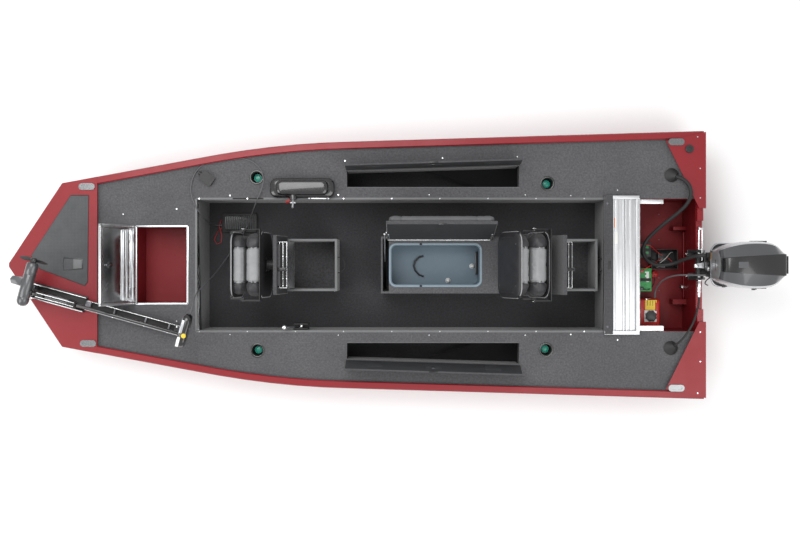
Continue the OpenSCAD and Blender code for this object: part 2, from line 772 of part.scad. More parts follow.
module outboard_leg() {
  color(cowl_grey) {
    translate([steer_x, 0, -40]) cylinder(h = 492, r = 16);
    hull() {
      translate([leg_x + 30, 0, 452]) cylinder(h = head_top - 452, r = 70);
      translate([leg_x - 90, 0, 452]) cylinder(h = head_top - 452, r = 70);
    }
    block(steer_x - 24, steer_x + 24, -30, 30, 452, arm_z);
    translate([0, 0, arm_z - 12]) linear_extrude(12) polygon([[steer_x, -29],
      [steer_x, 29], [-2600, 26], [-2490, 20], [-2490, -6], [-2600, -26]]);
    block(steer_x - 24, steer_x + 24, -24, 24, -66, -22);
    hull() {
      translate([leg_x + 40, 0, plate_z]) cylinder(h = 640, r = 14);
      translate([leg_x - 20, 0, plate_z]) cylinder(h = 640, r = 52);
      translate([leg_x - 110, 0, plate_z]) cylinder(h = 640, r = 20);
    }
    block(leg_x, steer_x - 20, -20, 20, -66, -22);
    hull() {
      translate([leg_x + 60, 0, plate_z - 6]) cylinder(h = 7, r = 30);
      translate([leg_x - 160, 0, plate_z - 6]) cylinder(h = 7, r = 95);
    }
    hull() {
      translate([leg_x + 40, 0, gear_z]) cylinder(h = -gear_z + plate_z, r = 9);
      translate([leg_x - 90, 0, gear_z]) cylinder(h = -gear_z + plate_z, r = 16);
    }
    translate([prop_x + 6, 0, gear_z]) rotate([0, 90, 0]) cylinder(h = 210, r = 46);
    translate([prop_x + 216, 0, gear_z]) scale([1.6, 1, 1]) rotate([0, 90, 0])
      rotate_extrude() intersection() {
        circle(46);
        square(60);
      }
    translate([0, 4, 0]) rotate([90, 0, 0]) linear_extrude(8)
      polygon([[leg_x + 50, gear_z - 30], [leg_x - 90, gear_z - 30],
        [leg_x - 100, gear_z - 170], [leg_x - 50, gear_z - 170]]);
  }
}
cowl_split = 600;
cowl_low = 505;
cowl_back = -2569 - cowl_length;
cowl_mid = -2569 - cowl_length / 2;
glands = [[-70, 22], [75, 12]];
module cowl_form(z, e) {
  r = 70 - e;
  w = cowl_width / 2 - e;
  l = cowl_length / 2 - e;
  for (x = [-1, 1], y = [-1, 1]) translate([cowl_mid + x * (l - 60), y * (w - 60), z])
    cylinder(h = 1, r = 60);
}
module cowl_shape(e) {
  hull() {
    cowl_form(cowl_split, e);
    translate([0, 0, 150]) cowl_form(cowl_split, e + 4);
    translate([cowl_mid, 0, 0]) scale([0.86, 0.8, 1]) translate([-cowl_mid, 0, 250])
      cowl_form(cowl_split, e + 8);
    translate([cowl_mid, 0, 0]) scale([0.62, 0.5, 1])
      translate([-cowl_mid, 0, cowl_top - cowl_split - 1 - e]) cowl_form(cowl_split, e + 8);
  }
}
module cowl() {
  color(cowl_grey) difference() {
    cowl_shape(0);
    translate([0, 0, -2]) cowl_shape(8);
  }
}
module lower_cowl() {
  color(metal_grey) difference() {
    union() {
      hull() {
        translate([0, 0, -2]) cowl_form(cowl_split, 2);
        translate([cowl_mid, 0, 0]) scale([0.76, 0.74, 1]) translate([-cowl_mid, 0, 0])
          cowl_form(cowl_low, 6);
      }
      for (g = glands) translate([-2640, g[0], 560]) rotate([0, 90, 0]) cylinder(h = 80, r = g[1]);
    }
    hull() {
      translate([0, 0, 9]) cowl_form(cowl_split, 12);
      translate([cowl_mid, 0, 0]) scale([0.76, 0.74, 1]) translate([-cowl_mid, 0, 10])
        cowl_form(cowl_low, 16);
    }
  }
}
module engine_block() {
  color(metal_grey) block(cowl_mid - 150, cowl_mid + 140, -88, 88, 518, 800);
}
module blade(r, chord, pitch, t) {
  rotate([0, pitch, 0]) translate([0, 0, r * 0.55]) scale([1, chord / (r * 0.9), 1])
    rotate([0, 90, 0]) translate([0, 0, -t / 2]) cylinder(h = t, r = r * 0.45);
}
module outboard_propeller() {
  color(metal_grey) translate([prop_x, 0, gear_z]) {
    rotate([0, -90, 0]) cylinder(h = 85, r = 38);
    for (a = [0 : 120 : 359]) rotate([a, 0, 0]) translate([-42, 0, 0])
      rotate([0, 0, 28]) translate([0, 0, outboard_prop_radius * 0.56])
        scale([1, 0.82, 1]) rotate([0, 90, 0]) translate([0, 0, -3])
          cylinder(h = 6, r = outboard_prop_radius * 0.44);
  }
}

// trolling motor, about its deploying hinge
troll_pivot = [2400, 190, 450];
troll_high = troll_shaft_height - 450;
head_x = -1214;
module on_mount() {
  translate(troll_pivot) rotate([0, 0, -troll_angle]) children();
}
module troll_mount() {
  color(trim_black) on_mount() {
    for (s = [-1, 1]) {
      block(-400, 34, s * 44, s * 54, -47.4, 14);
      block(-1120, -400, s * 26, s * 36, -40, -14);
    }
    block(-400, 34, -60, 60, -47.6, -38);
    block(-440, -398, -36, 36, -47.6, -14);
    block(-1150, -1080, -40, 40, -74.6, -14);
    rotate([90, 0, 0]) translate([0, 0, -54]) cylinder(h = 108, r = 8);
  }
}
module troll_arm() {
  color(metal_grey) on_mount() {
    difference() {
      union() {
        rotate([90, 0, 0]) translate([0, 0, -40]) cylinder(h = 80, r = 17);
        rotate([90, 0, 0]) translate([0, 0, -20]) linear_extrude(40)
          polygon([[0, -12], [8, 12], [-80, 60], [-80, troll_high - 26],
            [-380, troll_high - 26], [-380, troll_high - 60], [-110, 30]]);
        for (x = [-140, -380]) translate([x, 0, troll_high]) rotate([0, 90, 0])
          cylinder(h = 60, r = 32);
      }
      rotate([90, 0, 0]) translate([0, 0, -60]) cylinder(h = 120, r = 8.5);
      translate([-500, 0, troll_high]) rotate([0, 90, 0])
        cylinder(h = 600, r = troll_shaft_radius + 0.6);
    }
  }
}
pod_radius = 44;
module troll_pod() {
  color(cowl_grey) on_mount() translate([0, 0, troll_high]) {
    translate([-pod_radius - 7.6, 0, 0]) rotate([0, 90, 0]) cylinder(h = 30, r = 20);
    rotate([90, 0, 0]) translate([0, 0, -75]) cylinder(h = 290, r = pod_radius);
    translate([0, 75, 0]) rotate([-90, 0, 0]) rotate_extrude() intersection() {
      scale([1, 0.8]) circle(pod_radius);
      square(60);
    }
    translate([0, -61, 0]) rotate([90, 0, 90]) translate([0, 0, 40]) linear_extrude(92)
      square([5, 70], center = true);
  }
}
module troll_propeller() {
  color(trim_black) on_mount() translate([0, -216, troll_high]) {
    rotate([90, 0, 0]) cylinder(h = 34, r = 24);
    for (s = [-1, 1]) translate([s * troll_prop_radius * 0.55, -17, 0])
      rotate([0, 0, 0]) rotate([62, 0, 0]) scale([1, 0.5, 1])
        cylinder(h = 5, r = troll_prop_radius * 0.45, center = true);
  }
}
module troll_shaft() {
  color(trim_black) on_mount() translate([head_x, 0, troll_high]) {
    rotate([0, 90, 0]) cylinder(h = -head_x - pod_radius - 8, r = troll_shaft_radius);
    translate([0, -33, 0]) hull() for (y = [-95, 95], z = [-26, 30])
      translate([-10, y, z]) rotate([0, 90, 0]) cylinder(h = 52, r = 34);
  }
}

// cords
function mix(a, b, s) = a + (b - a) * s;
function knot(p, i) = p[max(0, min(len(p) - 1, i))];
function spline(p, i, s) =
  let (a = knot(p, i - 1), b = p[i], c = p[i + 1], d = knot(p, i + 2))
  b + s * ((c - a) / 2 + s * ((a - b * 2.5 + c * 2 - d / 2)
    + s * ((b * 3 - c * 3 + d - a) / 2)));
function smooth_route(p, n) = concat(
  [for (i = [0 : len(p) - 2]) for (k = [0 : n - 1]) spline(p, i, k / n)], [p[len(p) - 1]]);
function unit(v) = v / norm(v);
up_hint = [0.31, 0.17, 0.93];
module cord(route, r, sides) {
  last = len(route) - 1;
  loft([for (i = [0 : last])
    let (d = unit(route[min(last, i + 1)] - route[max(0, i - 1)]), u = unit(cross(d, up_hint)),
      v = cross(d, u))
    [for (k = [0 : sides - 1]) let (a = 360 * k / sides)
      route[i] + r * cos(a) * u + r * sin(a) * v]]);
}
pedal_route = [[1201.8, 352.2, 610], [1187, 284, 582], [1183, 214, 482], [1148, 158, 390],
  [1121, 118, 306], [1106, 81, 206], [1086, 39, 111], [1058, -18, 29], [1016, -91, -22],
  [962, -173, -33], [906, -251, -7], [860, -316, 56], [828, -366, 142], [800, -408, 235],
  [770, -450, 328], [740, -500, 392], [712, -562, 402], [698, -636, 392], [722, -716, 382],
  [789, -775, 380.5], [888, -803, 380], [995, -804, 380], [1100, -778, 380], [1188, -718, 381],
  [1234, -628, 386], [1238, -536, 396], [1213, -458, 398], [1186, -404, 372],
  [1166, -366, 310], [1154, -338, 215], [1151, -323, 110], [1143, -316, 35], [1123, -313, -9],
  [1102, -312, -25], [1078.8, -312, -28.8]];
module pedal_cable() {
  color(trim_black) cord(smooth_route(pedal_route, 2), 4.5, 8);
}
rigging_route = [[-2380.5, -660.7, 410.3], [-2431, -633, 437], [-2469, -584, 450],
  [-2481, -520, 442], [-2458, -450, 404], [-2405, -388, 350], [-2335, -325, 295],
  [-2270, -262, 248], [-2212, -195, 212], [-2180, -120, 205], [-2198, -50, 218],
  [-2255, -5, 250], [-2325, 0, 290], [-2392, -16, 338], [-2440, -42, 415], [-2480, -60, 490],
  [-2518, -68, 546], [-2557, -70, 560]];
module rigging_hose() {
  color(trim_black) cord(smooth_route(rigging_route, 3), 14, 12);
}
fuel_route = [[-2290, 257.2, 120], [-2291, 206, 130], [-2300, 165, 160], [-2314, 132, 205],
  [-2334, 106, 258], [-2360, 88, 316], [-2392, 78, 376], [-2426, 74, 436], [-2464, 74, 494],
  [-2506, 75, 546], [-2557, 75, 560]];
module fuel_hose() {
  color(trim_black) cord(smooth_route(fuel_route, 3), 6, 8);
}
steer_route = [[-2368.5, 600.5, 411.5], [-2398, 571, 438], [-2429, 533, 452],
  [-2459, 491, 456], [-2486, 445, 453], [-2510, 395, 445], [-2528, 344, 436],
  [-2541, 291, 428], [-2545, 238.6, 425]];
module steering_cable() {
  color(trim_black) cord(smooth_route(steer_route, 4), 8, 8);
}

hull_bottom();
hull_sides();
transom();
gunwale_rails();
bow_cap();
bow_deck();
bow_hatch_tray();
bulkheads();
cockpit_floor();
side_decks();
cockpit_walls();
rod_lockers();
aft_deck();
well_sides();
light_socket();
cup_holders();
cleats();
tow_eyes();
seat_box_fore();
seat_box_aft();
seat_lid_fore();
seat_lid_aft();
seat_pan_fore();
seat_pan_aft();
seat_cushion_fore();
seat_cushion_aft();
seat_back_fore();
seat_back_aft();
livewell_box();
livewell_basin();
livewell_lid();
livewell_pad();
strut_cylinder();
strut_rod();
bow_hatch_lid();
stern_hatch_lid();
rod_lid_port();
rod_lid_starboard();
batteries();
fuel_tank();
deck_sockets();
control_console();
steering_stick();
foot_pedal();
clamp_bracket();
swivel_bracket();
outboard_leg();
cowl();
lower_cowl();
engine_block();
outboard_propeller();
troll_mount();
troll_arm();
troll_shaft();
troll_pod();
troll_propeller();
pedal_cable();
rigging_hose();
fuel_hose();
steering_cable();
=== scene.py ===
import bpy, bmesh, math
from mathutils import Matrix, Vector, noise


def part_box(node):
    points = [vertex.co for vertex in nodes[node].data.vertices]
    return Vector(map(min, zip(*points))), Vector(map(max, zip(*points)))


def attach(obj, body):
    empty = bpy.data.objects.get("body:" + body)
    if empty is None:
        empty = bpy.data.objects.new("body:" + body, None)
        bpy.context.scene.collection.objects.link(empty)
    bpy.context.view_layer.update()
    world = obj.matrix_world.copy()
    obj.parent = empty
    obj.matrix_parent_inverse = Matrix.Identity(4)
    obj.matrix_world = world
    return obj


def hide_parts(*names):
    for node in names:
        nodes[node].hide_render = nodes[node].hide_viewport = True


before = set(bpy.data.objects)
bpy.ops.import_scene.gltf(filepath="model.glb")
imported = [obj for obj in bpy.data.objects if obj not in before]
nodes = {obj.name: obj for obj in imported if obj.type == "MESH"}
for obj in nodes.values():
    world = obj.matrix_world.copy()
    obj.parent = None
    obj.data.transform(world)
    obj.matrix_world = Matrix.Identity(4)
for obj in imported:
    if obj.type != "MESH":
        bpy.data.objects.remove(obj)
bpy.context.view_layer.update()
print("frame loaded:", len(nodes), "nodes")

# shader sockets as numbers in an expression
class Value:
    def __init__(self, finish, socket):
        self.finish, self.socket = finish, socket

    def maths(self, operation, *others):
        return self.finish.add("Math", {"operation": operation}, {i: v for i, v in enumerate(others)})

    def __add__(self, other): return self.maths("ADD", self, other)
    def __radd__(self, other): return self.maths("ADD", other, self)
    def __sub__(self, other): return self.maths("SUBTRACT", self, other)
    def __rsub__(self, other): return self.maths("SUBTRACT", other, self)
    def __mul__(self, other): return self.maths("MULTIPLY", self, other)
    def __rmul__(self, other): return self.maths("MULTIPLY", other, self)
    def __truediv__(self, other): return self.maths("DIVIDE", self, other)
    def __rtruediv__(self, other): return self.maths("DIVIDE", other, self)
    def __pow__(self, other): return self.maths("POWER", self, other)
    def __gt__(self, other): return self.maths("GREATER_THAN", self, other)
    def __lt__(self, other): return self.maths("LESS_THAN", self, other)
    def abs(self): return self.maths("ABSOLUTE", self)
    def frac(self): return self.maths("FRACT", self)
    def clip(self): return self.maths("MINIMUM", self.maths("MAXIMUM", self, 0.0), 1.0)


class Finish:
    def __init__(self, name, **shader):
        self.material = bpy.data.materials.new(name)
        self.material.use_nodes = True
        self.tree = self.material.node_tree
        self.shader = self.tree.nodes["Principled BSDF"]
        for key, value in shader.items():
            self.set(key, value)

    # one node: its settings first, then its sockets, and the output that is wanted
    def add(self, kind, settings=None, sockets=None, out=0):
        made = self.tree.nodes.new("ShaderNode" + kind)
        for key, value in (settings or {}).items():
            if key == "stops":
                ramp = made.color_ramp
                while len(ramp.elements) < len(value):
                    ramp.elements.new(0.5)
                for element, (at, shade) in zip(ramp.elements, value):
                    element.position = at
                    element.color = (*shade, 1.0) if len(shade) == 3 else shade
            else:
                setattr(made, key, value)
        for key, value in (sockets or {}).items():
            self.join(made.inputs[key], value)
        return Value(self, made.outputs[out])

    def join(self, socket, value):
        if isinstance(value, Value):
            self.tree.links.new(value.socket, socket)
        elif isinstance(value, (tuple, list)) and len(value) == 3 and socket.type == "RGBA":
            socket.default_value = (*value, 1.0)
        else:
            socket.default_value = value

    def set(self, name, value):
        self.join(self.shader.inputs[name.replace("_", " ")], value)

    def place(self):
        return self.add("TexCoord", out="Object")

    def scaled(self, x, y, z, turn=(0, 0, 0)):
        return self.add("Mapping", {}, {"Vector": self.place(), "Scale": (x, y, z), "Rotation": turn})

    def axes(self):
        split = self.add("SeparateXYZ", {}, {"Vector": self.place()})
        return [Value(self, split.socket.node.outputs[i]) for i in range(3)]

    def noise(self, scale, detail=3.0, rough=0.55, at=None, warp=0.0):
        return self.add("TexNoise", {}, {"Vector": at or self.place(), "Scale": scale,
                        "Detail": detail, "Roughness": rough, "Distortion": warp})

    def cells(self, scale, feature="F1", at=None, out="Distance"):
        return self.add("TexVoronoi", {"feature": feature}, {"Vector": at or self.place(),
                        "Scale": scale}, out)

    def ramp(self, factor, stops):
        return self.add("ValToRGB", {"stops": stops}, {"Fac": factor})

    def blend(self, factor, a, b):
        return self.add("Mix", {"data_type": "RGBA"}, {0: factor, 6: a, 7: b}, 2)

    def span(self, value, low, high, a=0.0, b=1.0):
        return self.add("MapRange", {}, {"Value": value, "From Min": low, "From Max": high,
                        "To Min": a, "To Max": b})

    def bump(self, height, distance, strength=1.0, over=None):
        sockets = {"Height": height, "Distance": distance, "Strength": strength}
        if over is not None:
            sockets["Normal"] = over
        return self.add("Bump", {}, sockets)


def shade(colour, factor):
    return tuple(c * factor for c in colour)


# looped pile: tufts, stray fibres, and patches where feet have flattened it
def makeCarpet(name, colour, depth=0.0012):
    f = Finish(name, Metallic=0.0)
    patch = f.noise(3.2, 4.0, 0.6)
    mottle = f.noise(75.0, 4.0, 0.72)
    tuft = f.cells(420.0)
    fibre = f.noise(1400.0, 2.0, 0.6)
    base = f.blend(f.span(mottle, 0.3, 0.7), shade(colour, 0.42), shade(colour, 1.75))
    base = f.blend(f.span(fibre, 0.35, 0.75) * 0.55, base, shade(colour, 2.7))
    base = f.blend(f.span(patch, 0.35, 0.7) * 0.22, base, shade(colour, 0.55))
    f.set("Base Color", base)
    f.set("Roughness", f.span(mottle, 0.3, 0.7, 0.86, 0.98))
    f.set("Sheen Weight", 0.25)
    f.set("Sheen Roughness", 0.6)
    f.set("Specular IOR Level", 0.2)
    f.set("Normal", f.bump(tuft * 0.6 + fibre * 0.5 + mottle * 0.8, depth, 0.9))
    return f.material


# sprayed gloss paint with a fine flake, orange peel and dusting
def makePaint(name, colour, rough=0.22, flake=0.12, metallic=0.35, coat=0.7):
    f = Finish(name)
    fleck = f.cells(2600.0, out="Color")
    peel = f.noise(140.0, 2.0)
    dust = f.noise(5.0, 5.0, 0.7)
    spark = f.add("SeparateColor", {}, {"Color": fleck})
    base = f.blend(spark * flake, colour, tuple(min(1.0, c * 2.4 + 0.02) for c in colour))
    base = f.blend(f.span(dust, 0.42, 0.75) * 0.10, base, shade(colour, 0.62))
    f.set("Base Color", base)
    f.set("Roughness", f.span(dust, 0.3, 0.75, rough, rough + 0.14))
    f.set("Metallic", metallic)
    f.set("Coat Weight", coat)
    f.set("Coat Roughness", 0.08)
    f.set("Normal", f.bump(peel, 0.00035, 0.35))
    return f.material


# rolled or brushed bare metal: grain along one axis, stains and fine scratches
def makeMetal(name, colour, rough=0.34, grain=(6, 260, 260), stain=0.25, metallic=1.0):
    f = Finish(name)
    lines = f.noise(9.0, 4.0, 0.65, at=f.scaled(*grain))
    cloud = f.noise(7.0, 5.0, 0.65)
    scratch = f.noise(3.0, 6.0, 0.8, at=f.scaled(grain[1] / 3, grain[0] * 2, grain[2] / 3))
    base = f.blend(f.span(lines, 0.3, 0.7), shade(colour, 0.82), tuple(min(1, c * 1.1) for c in colour))
    base = f.blend(f.span(cloud, 0.45, 0.8) * stain, base, shade(colour, 0.55))
    f.set("Base Color", base)
    f.set("Metallic", metallic)
    f.set("Roughness", (f.span(lines, 0.3, 0.7, rough - 0.07, rough + 0.1)
                        + f.span(cloud, 0.4, 0.8, 0.0, 0.1)).clip())
    f.set("Normal", f.bump(lines + scratch * 0.6, 0.0002, 0.4))
    return f.material


# moulded plastic or rubber: fine spark grain, handling marks, faded patches
def makePlastic(name, colour, rough=0.5, grain=900.0, depth=0.00015, fade=0.3, coat=0.0):
    f = Finish(name)
    grit = f.noise(grain, 2.0, 0.6)
    worn = f.noise(14.0, 5.0, 0.7)
    wide = f.noise(2.5, 3.0)
    base = f.blend(f.span(worn, 0.45, 0.75) * fade, colour,
                   tuple(min(1, c * 1.5 + 0.012) for c in colour))
    base = f.blend(f.span(wide, 0.4, 0.7) * fade * 0.6, base, shade(colour, 0.7))
    f.set("Base Color", base)
    f.set("Roughness", f.span(worn, 0.3, 0.75, rough - 0.06, rough + 0.12))
    if coat:
        f.set("Coat Weight", coat)
        f.set("Coat Roughness", 0.06)
    f.set("Normal", f.bump(grit, depth, 0.6))
    return f.material


# coated upholstery fabric: leather-like pebble, creases and rubbed high spots
def makeVinyl(name, colour, rough=0.45, pebble=420.0):
    f = Finish(name)
    grain = f.cells(pebble, "SMOOTH_F1")
    crease = f.noise(22.0, 5.0, 0.65, warp=0.4)
    rub = f.noise(6.0, 4.0, 0.6)
    base = f.blend(f.span(crease, 0.4, 0.72) * 0.35, colour, shade(colour, 1.5))
    base = f.blend(f.span(rub, 0.45, 0.75) * 0.3, base, shade(colour, 0.62))
    base = f.blend(f.span(grain, 0.0, 0.5) * 0.3, base, shade(colour, 0.6))
    f.set("Base Color", base)
    f.set("Roughness", f.span(rub, 0.3, 0.75, rough - 0.05, rough + 0.15))
    f.set("Sheen Weight", 0.12)
    f.set("Normal", f.bump(grain * -1.0 + crease * 0.5, 0.0005, 0.5))
    return f.material


# rubber-backed pad with rows of small raised dots
def makeGrip(name, colour):
    f = Finish(name)
    x, y, z = f.axes()
    dotX = (x * 95.0).frac() - 0.5
    dotY = (y * 95.0).frac() - 0.5
    far = dotX * dotX + dotY * dotY
    dot = f.span(far, 0.05, 0.12, 1.0, 0.0)
    grit = f.noise(700.0, 3.0, 0.7)
    wear = f.noise(9.0, 5.0, 0.7)
    base = f.blend(dot * 0.5, shade(colour, 0.8), shade(colour, 1.35))
    base = f.blend(f.span(grit, 0.4, 0.7) * 0.4, base, shade(colour, 1.6))
    base = f.blend(f.span(wear, 0.45, 0.8) * 0.3, base, shade(colour, 0.6))
    f.set("Base Color", base)
    f.set("Roughness", f.span(wear, 0.3, 0.8, 0.7, 0.9))
    f.set("Normal", f.bump(dot + grit * 0.4, 0.0006, 0.7))
    return f.material


finishes = {
    "hullRed": makePaint("hullRed", (0.21, 0.002, 0.007), coat=0.12, metallic=0.1),
    "capRed": makePaint("capRed", (0.20, 0.002, 0.007), rough=0.36, coat=0.08, metallic=0.1),
    "linerRed": makePaint("linerRed", (0.16, 0.0015, 0.005), rough=0.45, coat=0.05),
    "deckCarpet": makeCarpet("deckCarpet", (0.058, 0.058, 0.061)),
    # cockpit carpet, darker than the deck carpet: painted shade of the sunken cockpit
    "floorCarpetShaded": makeCarpet("floorCarpetShaded", (0.026, 0.026, 0.028)),
    "lidCarpet": makeCarpet("lidCarpet", (0.042, 0.042, 0.045)),
    # near-black liner for the rod lockers: its darkness is painted shade inside the deep narrow lockers
    "lockerLinerShade": makeCarpet("lockerLinerShade", (0.006, 0.006, 0.007)),
    "bareMetal": makeMetal("bareMetal", (0.78, 0.79, 0.80)),
    "brushedMetal": makeMetal("brushedMetal", (0.80, 0.81, 0.82), rough=0.26, grain=(260, 6, 260)),
    "chrome": makeMetal("chrome", (0.86, 0.87, 0.88), rough=0.12, stain=0.1),
    "blackPlastic": makePlastic("blackPlastic", (0.014, 0.014, 0.015), rough=0.48),
    "glossBlack": makePlastic("glossBlack", (0.006, 0.006, 0.007), rough=0.2, coat=0.8, fade=0.1),
    "softRubber": makePlastic("softRubber", (0.012, 0.012, 0.013), rough=0.66, grain=500.0),
    "tubPlastic": makePlastic("tubPlastic", (0.115, 0.165, 0.205), rough=0.4, fade=0.15),
    "tankRed": makePlastic("tankRed", (0.42, 0.012, 0.008), rough=0.42),
    "engineBlack": makePaint("engineBlack", (0.008, 0.008, 0.009), rough=0.16, metallic=0.2),
    "engineGrey": makePaint("engineGrey", (0.075, 0.077, 0.082), rough=0.3, metallic=0.5),
    "engineSilver": makePaint("engineSilver", (0.42, 0.43, 0.45), rough=0.3, metallic=0.7),
    "bracketBlack": makePaint("bracketBlack", (0.018, 0.018, 0.019), rough=0.4, coat=0.1),
    "seatGrey": makeVinyl("seatGrey", (0.085, 0.087, 0.092)),
    "seatDark": makeVinyl("seatDark", (0.028, 0.028, 0.031)),
    "gripGrey": makeGrip("gripGrey", (0.075, 0.078, 0.082)),
    "tealGlow": makePlastic("tealGlow", (0.01, 0.34, 0.24), rough=0.3, coat=0.4),
    "greenCase": makePlastic("greenCase", (0.02, 0.26, 0.06), rough=0.45),
    "yellowPlate": makePlastic("yellowPlate", (0.72, 0.5, 0.03), rough=0.5),
    "whitePlate": makePlastic("whitePlate", (0.7, 0.7, 0.68), rough=0.5),
    "orangePlate": makePlastic("orangePlate", (0.75, 0.2, 0.03), rough=0.5),
    "signalRed": makePlastic("signalRed", (0.55, 0.012, 0.01), rough=0.4),
    # the well's red paint, darker than the hull red: painted shade of the sunken well
    "wellRedShaded": makePaint("wellRedShaded", (0.140, 0.0006, 0.003), rough=0.45, coat=0.03),
    "ribMetal": makeMetal("ribMetal", (0.62, 0.63, 0.64), rough=0.36, grain=(260, 5, 260), metallic=0.85),
    "shadowGap": makePlastic("shadowGap", (0.012, 0.012, 0.012), rough=0.8),
    "darkSteel": makeMetal("darkSteel", (0.16, 0.16, 0.17), rough=0.4),
    "batteryCase": makePlastic("batteryCase", (0.016, 0.016, 0.018), rough=0.42),
    "fuseBlack": makePlastic("fuseBlack", (0.012, 0.012, 0.013), rough=0.38, coat=0.2),
    "amberGlass": makePlastic("amberGlass", (0.22, 0.10, 0.02), rough=0.2, coat=0.6),
    "seatLight": makeVinyl("seatLight", (0.26, 0.265, 0.27)),
    "seatShell": makePlastic("seatShell", (0.020, 0.020, 0.022), rough=0.42),
    "seatPiping": makeVinyl("seatPiping", (0.30, 0.30, 0.31), pebble=900.0),
    "lidDark": makePlastic("lidDark", (0.030, 0.031, 0.033), rough=0.6),
    "trimGrey": makePlastic("trimGrey", (0.125, 0.127, 0.13), rough=0.45),
    "mirrorMetal": makeMetal("mirrorMetal", (0.58, 0.59, 0.60), rough=0.16, stain=0.35),
    "basinRim": makePlastic("basinRim", (0.24, 0.30, 0.34), rough=0.4),
    "darkChrome": makeMetal("darkChrome", (0.26, 0.265, 0.27), rough=0.22, stain=0.2),
    "hoseGrey": makePlastic("hoseGrey", (0.09, 0.09, 0.095), rough=0.55),
}
print("finishes made:", len(finishes))

# camera straight above, with the bow to the left
bpy.context.scene.camera = bpy.data.objects.new("topCamera", bpy.data.cameras.new("topCamera"))
camera = bpy.context.scene.camera
bpy.context.collection.objects.link(camera)
camera.location = (-0.322, 0.0112, 8.375)
camera.rotation_euler = (0, 0, math.pi)
camera.data.lens = 48.1
camera.data.sensor_width = 36.0


def smoothLine(points, steps):
    knots = [Vector(p) for p in points]
    line = []
    for i in range(len(knots) - 1):
        a, b = knots[max(0, i - 1)], knots[i]
        c, d = knots[i + 1], knots[min(len(knots) - 1, i + 2)]
        for k in range(steps):
            s = k / steps
            line.append(b + s * ((c - a) / 2 + s * ((a - b * 2.5 + c * 2 - d / 2)
                        + s * ((b * 3 - c * 3 + d - a) / 2))))
    return line + [knots[-1]]


# routes in millimetres, the same as the solid tubes
cords = {
    "pedalCable": {"node": "pedal_cable", "radius": 4.5, "finish": "hoseGrey", "steps": 4,
        "stiffness": "stiff", "route": [
        (1201.8, 352.2, 610), (1187, 284, 582), (1183, 214, 482), (1148, 158, 390),
        (1121, 118, 306), (1106, 81, 206), (1086, 39, 111), (1058, -18, 29), (1016, -91, -22),
        (962, -173, -33), (906, -251, -7), (860, -316, 56), (828, -366, 142), (800, -408, 235),
        (770, -450, 328), (740, -500, 392), (712, -562, 402), (698, -636, 392), (722, -716, 382),
        (789, -775, 380.5), (888, -803, 380), (995, -804, 380), (1100, -778, 380),
        (1188, -718, 381), (1234, -628, 386), (1238, -536, 396), (1213, -458, 398),
        (1186, -404, 372), (1166, -366, 310), (1154, -338, 215), (1151, -323, 110),
        (1143, -316, 35), (1123, -313, -9), (1102, -312, -25), (1078.8, -312, -28.8)]},
    "riggingHose": {"node": "rigging_hose", "radius": 14, "finish": "softRubber", "steps": 6,
        "stiffness": "stiff", "route": [
        (-2380.5, -660.7, 410.3), (-2431, -633, 437), (-2469, -584, 450), (-2481, -520, 442),
        (-2458, -450, 404), (-2405, -388, 350), (-2335, -325, 295), (-2270, -262, 248),
        (-2212, -195, 212), (-2180, -120, 205), (-2198, -50, 218), (-2255, -5, 250),
        (-2325, 0, 290), (-2392, -16, 338), (-2440, -42, 415), (-2480, -60, 490),
        (-2518, -68, 546), (-2557, -70, 560)]},
    "fuelHose": {"node": "fuel_hose", "radius": 6, "finish": "hoseGrey", "steps": 6,
        "stiffness": "medium", "route": [
        (-2290, 257.2, 120), (-2291, 206, 130), (-2300, 165, 160), (-2314, 132, 205),
        (-2334, 106, 258), (-2360, 88, 316), (-2392, 78, 376), (-2426, 74, 436), (-2464, 74, 494),
        (-2506, 75, 546), (-2557, 75, 560)]},
    "steeringCable": {"node": "steering_cable", "radius": 8, "finish": "softRubber", "steps": 6,
        "stiffness": "stiff", "route": [
        (-2368.5, 600.5, 411.5), (-2398, 571, 438), (-2429, 533, 452), (-2459, 491, 456),
        (-2486, 445, 453), (-2510, 395, 445), (-2528, 344, 436), (-2541, 291, 428),
        (-2545, 238.6, 425)]},
}
for name, cord in cords.items():
    line = smoothLine([(x / 1000, y / 1000, z / 1000) for x, y, z in cord["route"]], cord["steps"])
    curve = bpy.data.curves.new(name, "CURVE")
    curve.dimensions = "3D"
    curve.bevel_depth = cord["radius"] / 1000
    curve.bevel_resolution = 4
    curve.use_fill_caps = True
    spline = curve.splines.new("POLY")
    spline.points.add(len(line) - 1)
    for knot, at in zip(spline.points, line):
        knot.co = (*at, 1.0)
    spline.use_smooth = True
    curve.materials.append(finishes[cord["finish"]])
    piece = bpy.data.objects.new(name, curve)
    bpy.context.collection.objects.link(piece)
    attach(piece, "boat")
    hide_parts(cord["node"])
    length = sum((b - a).length for a, b in zip(line, line[1:]))
print("camera and cords done")

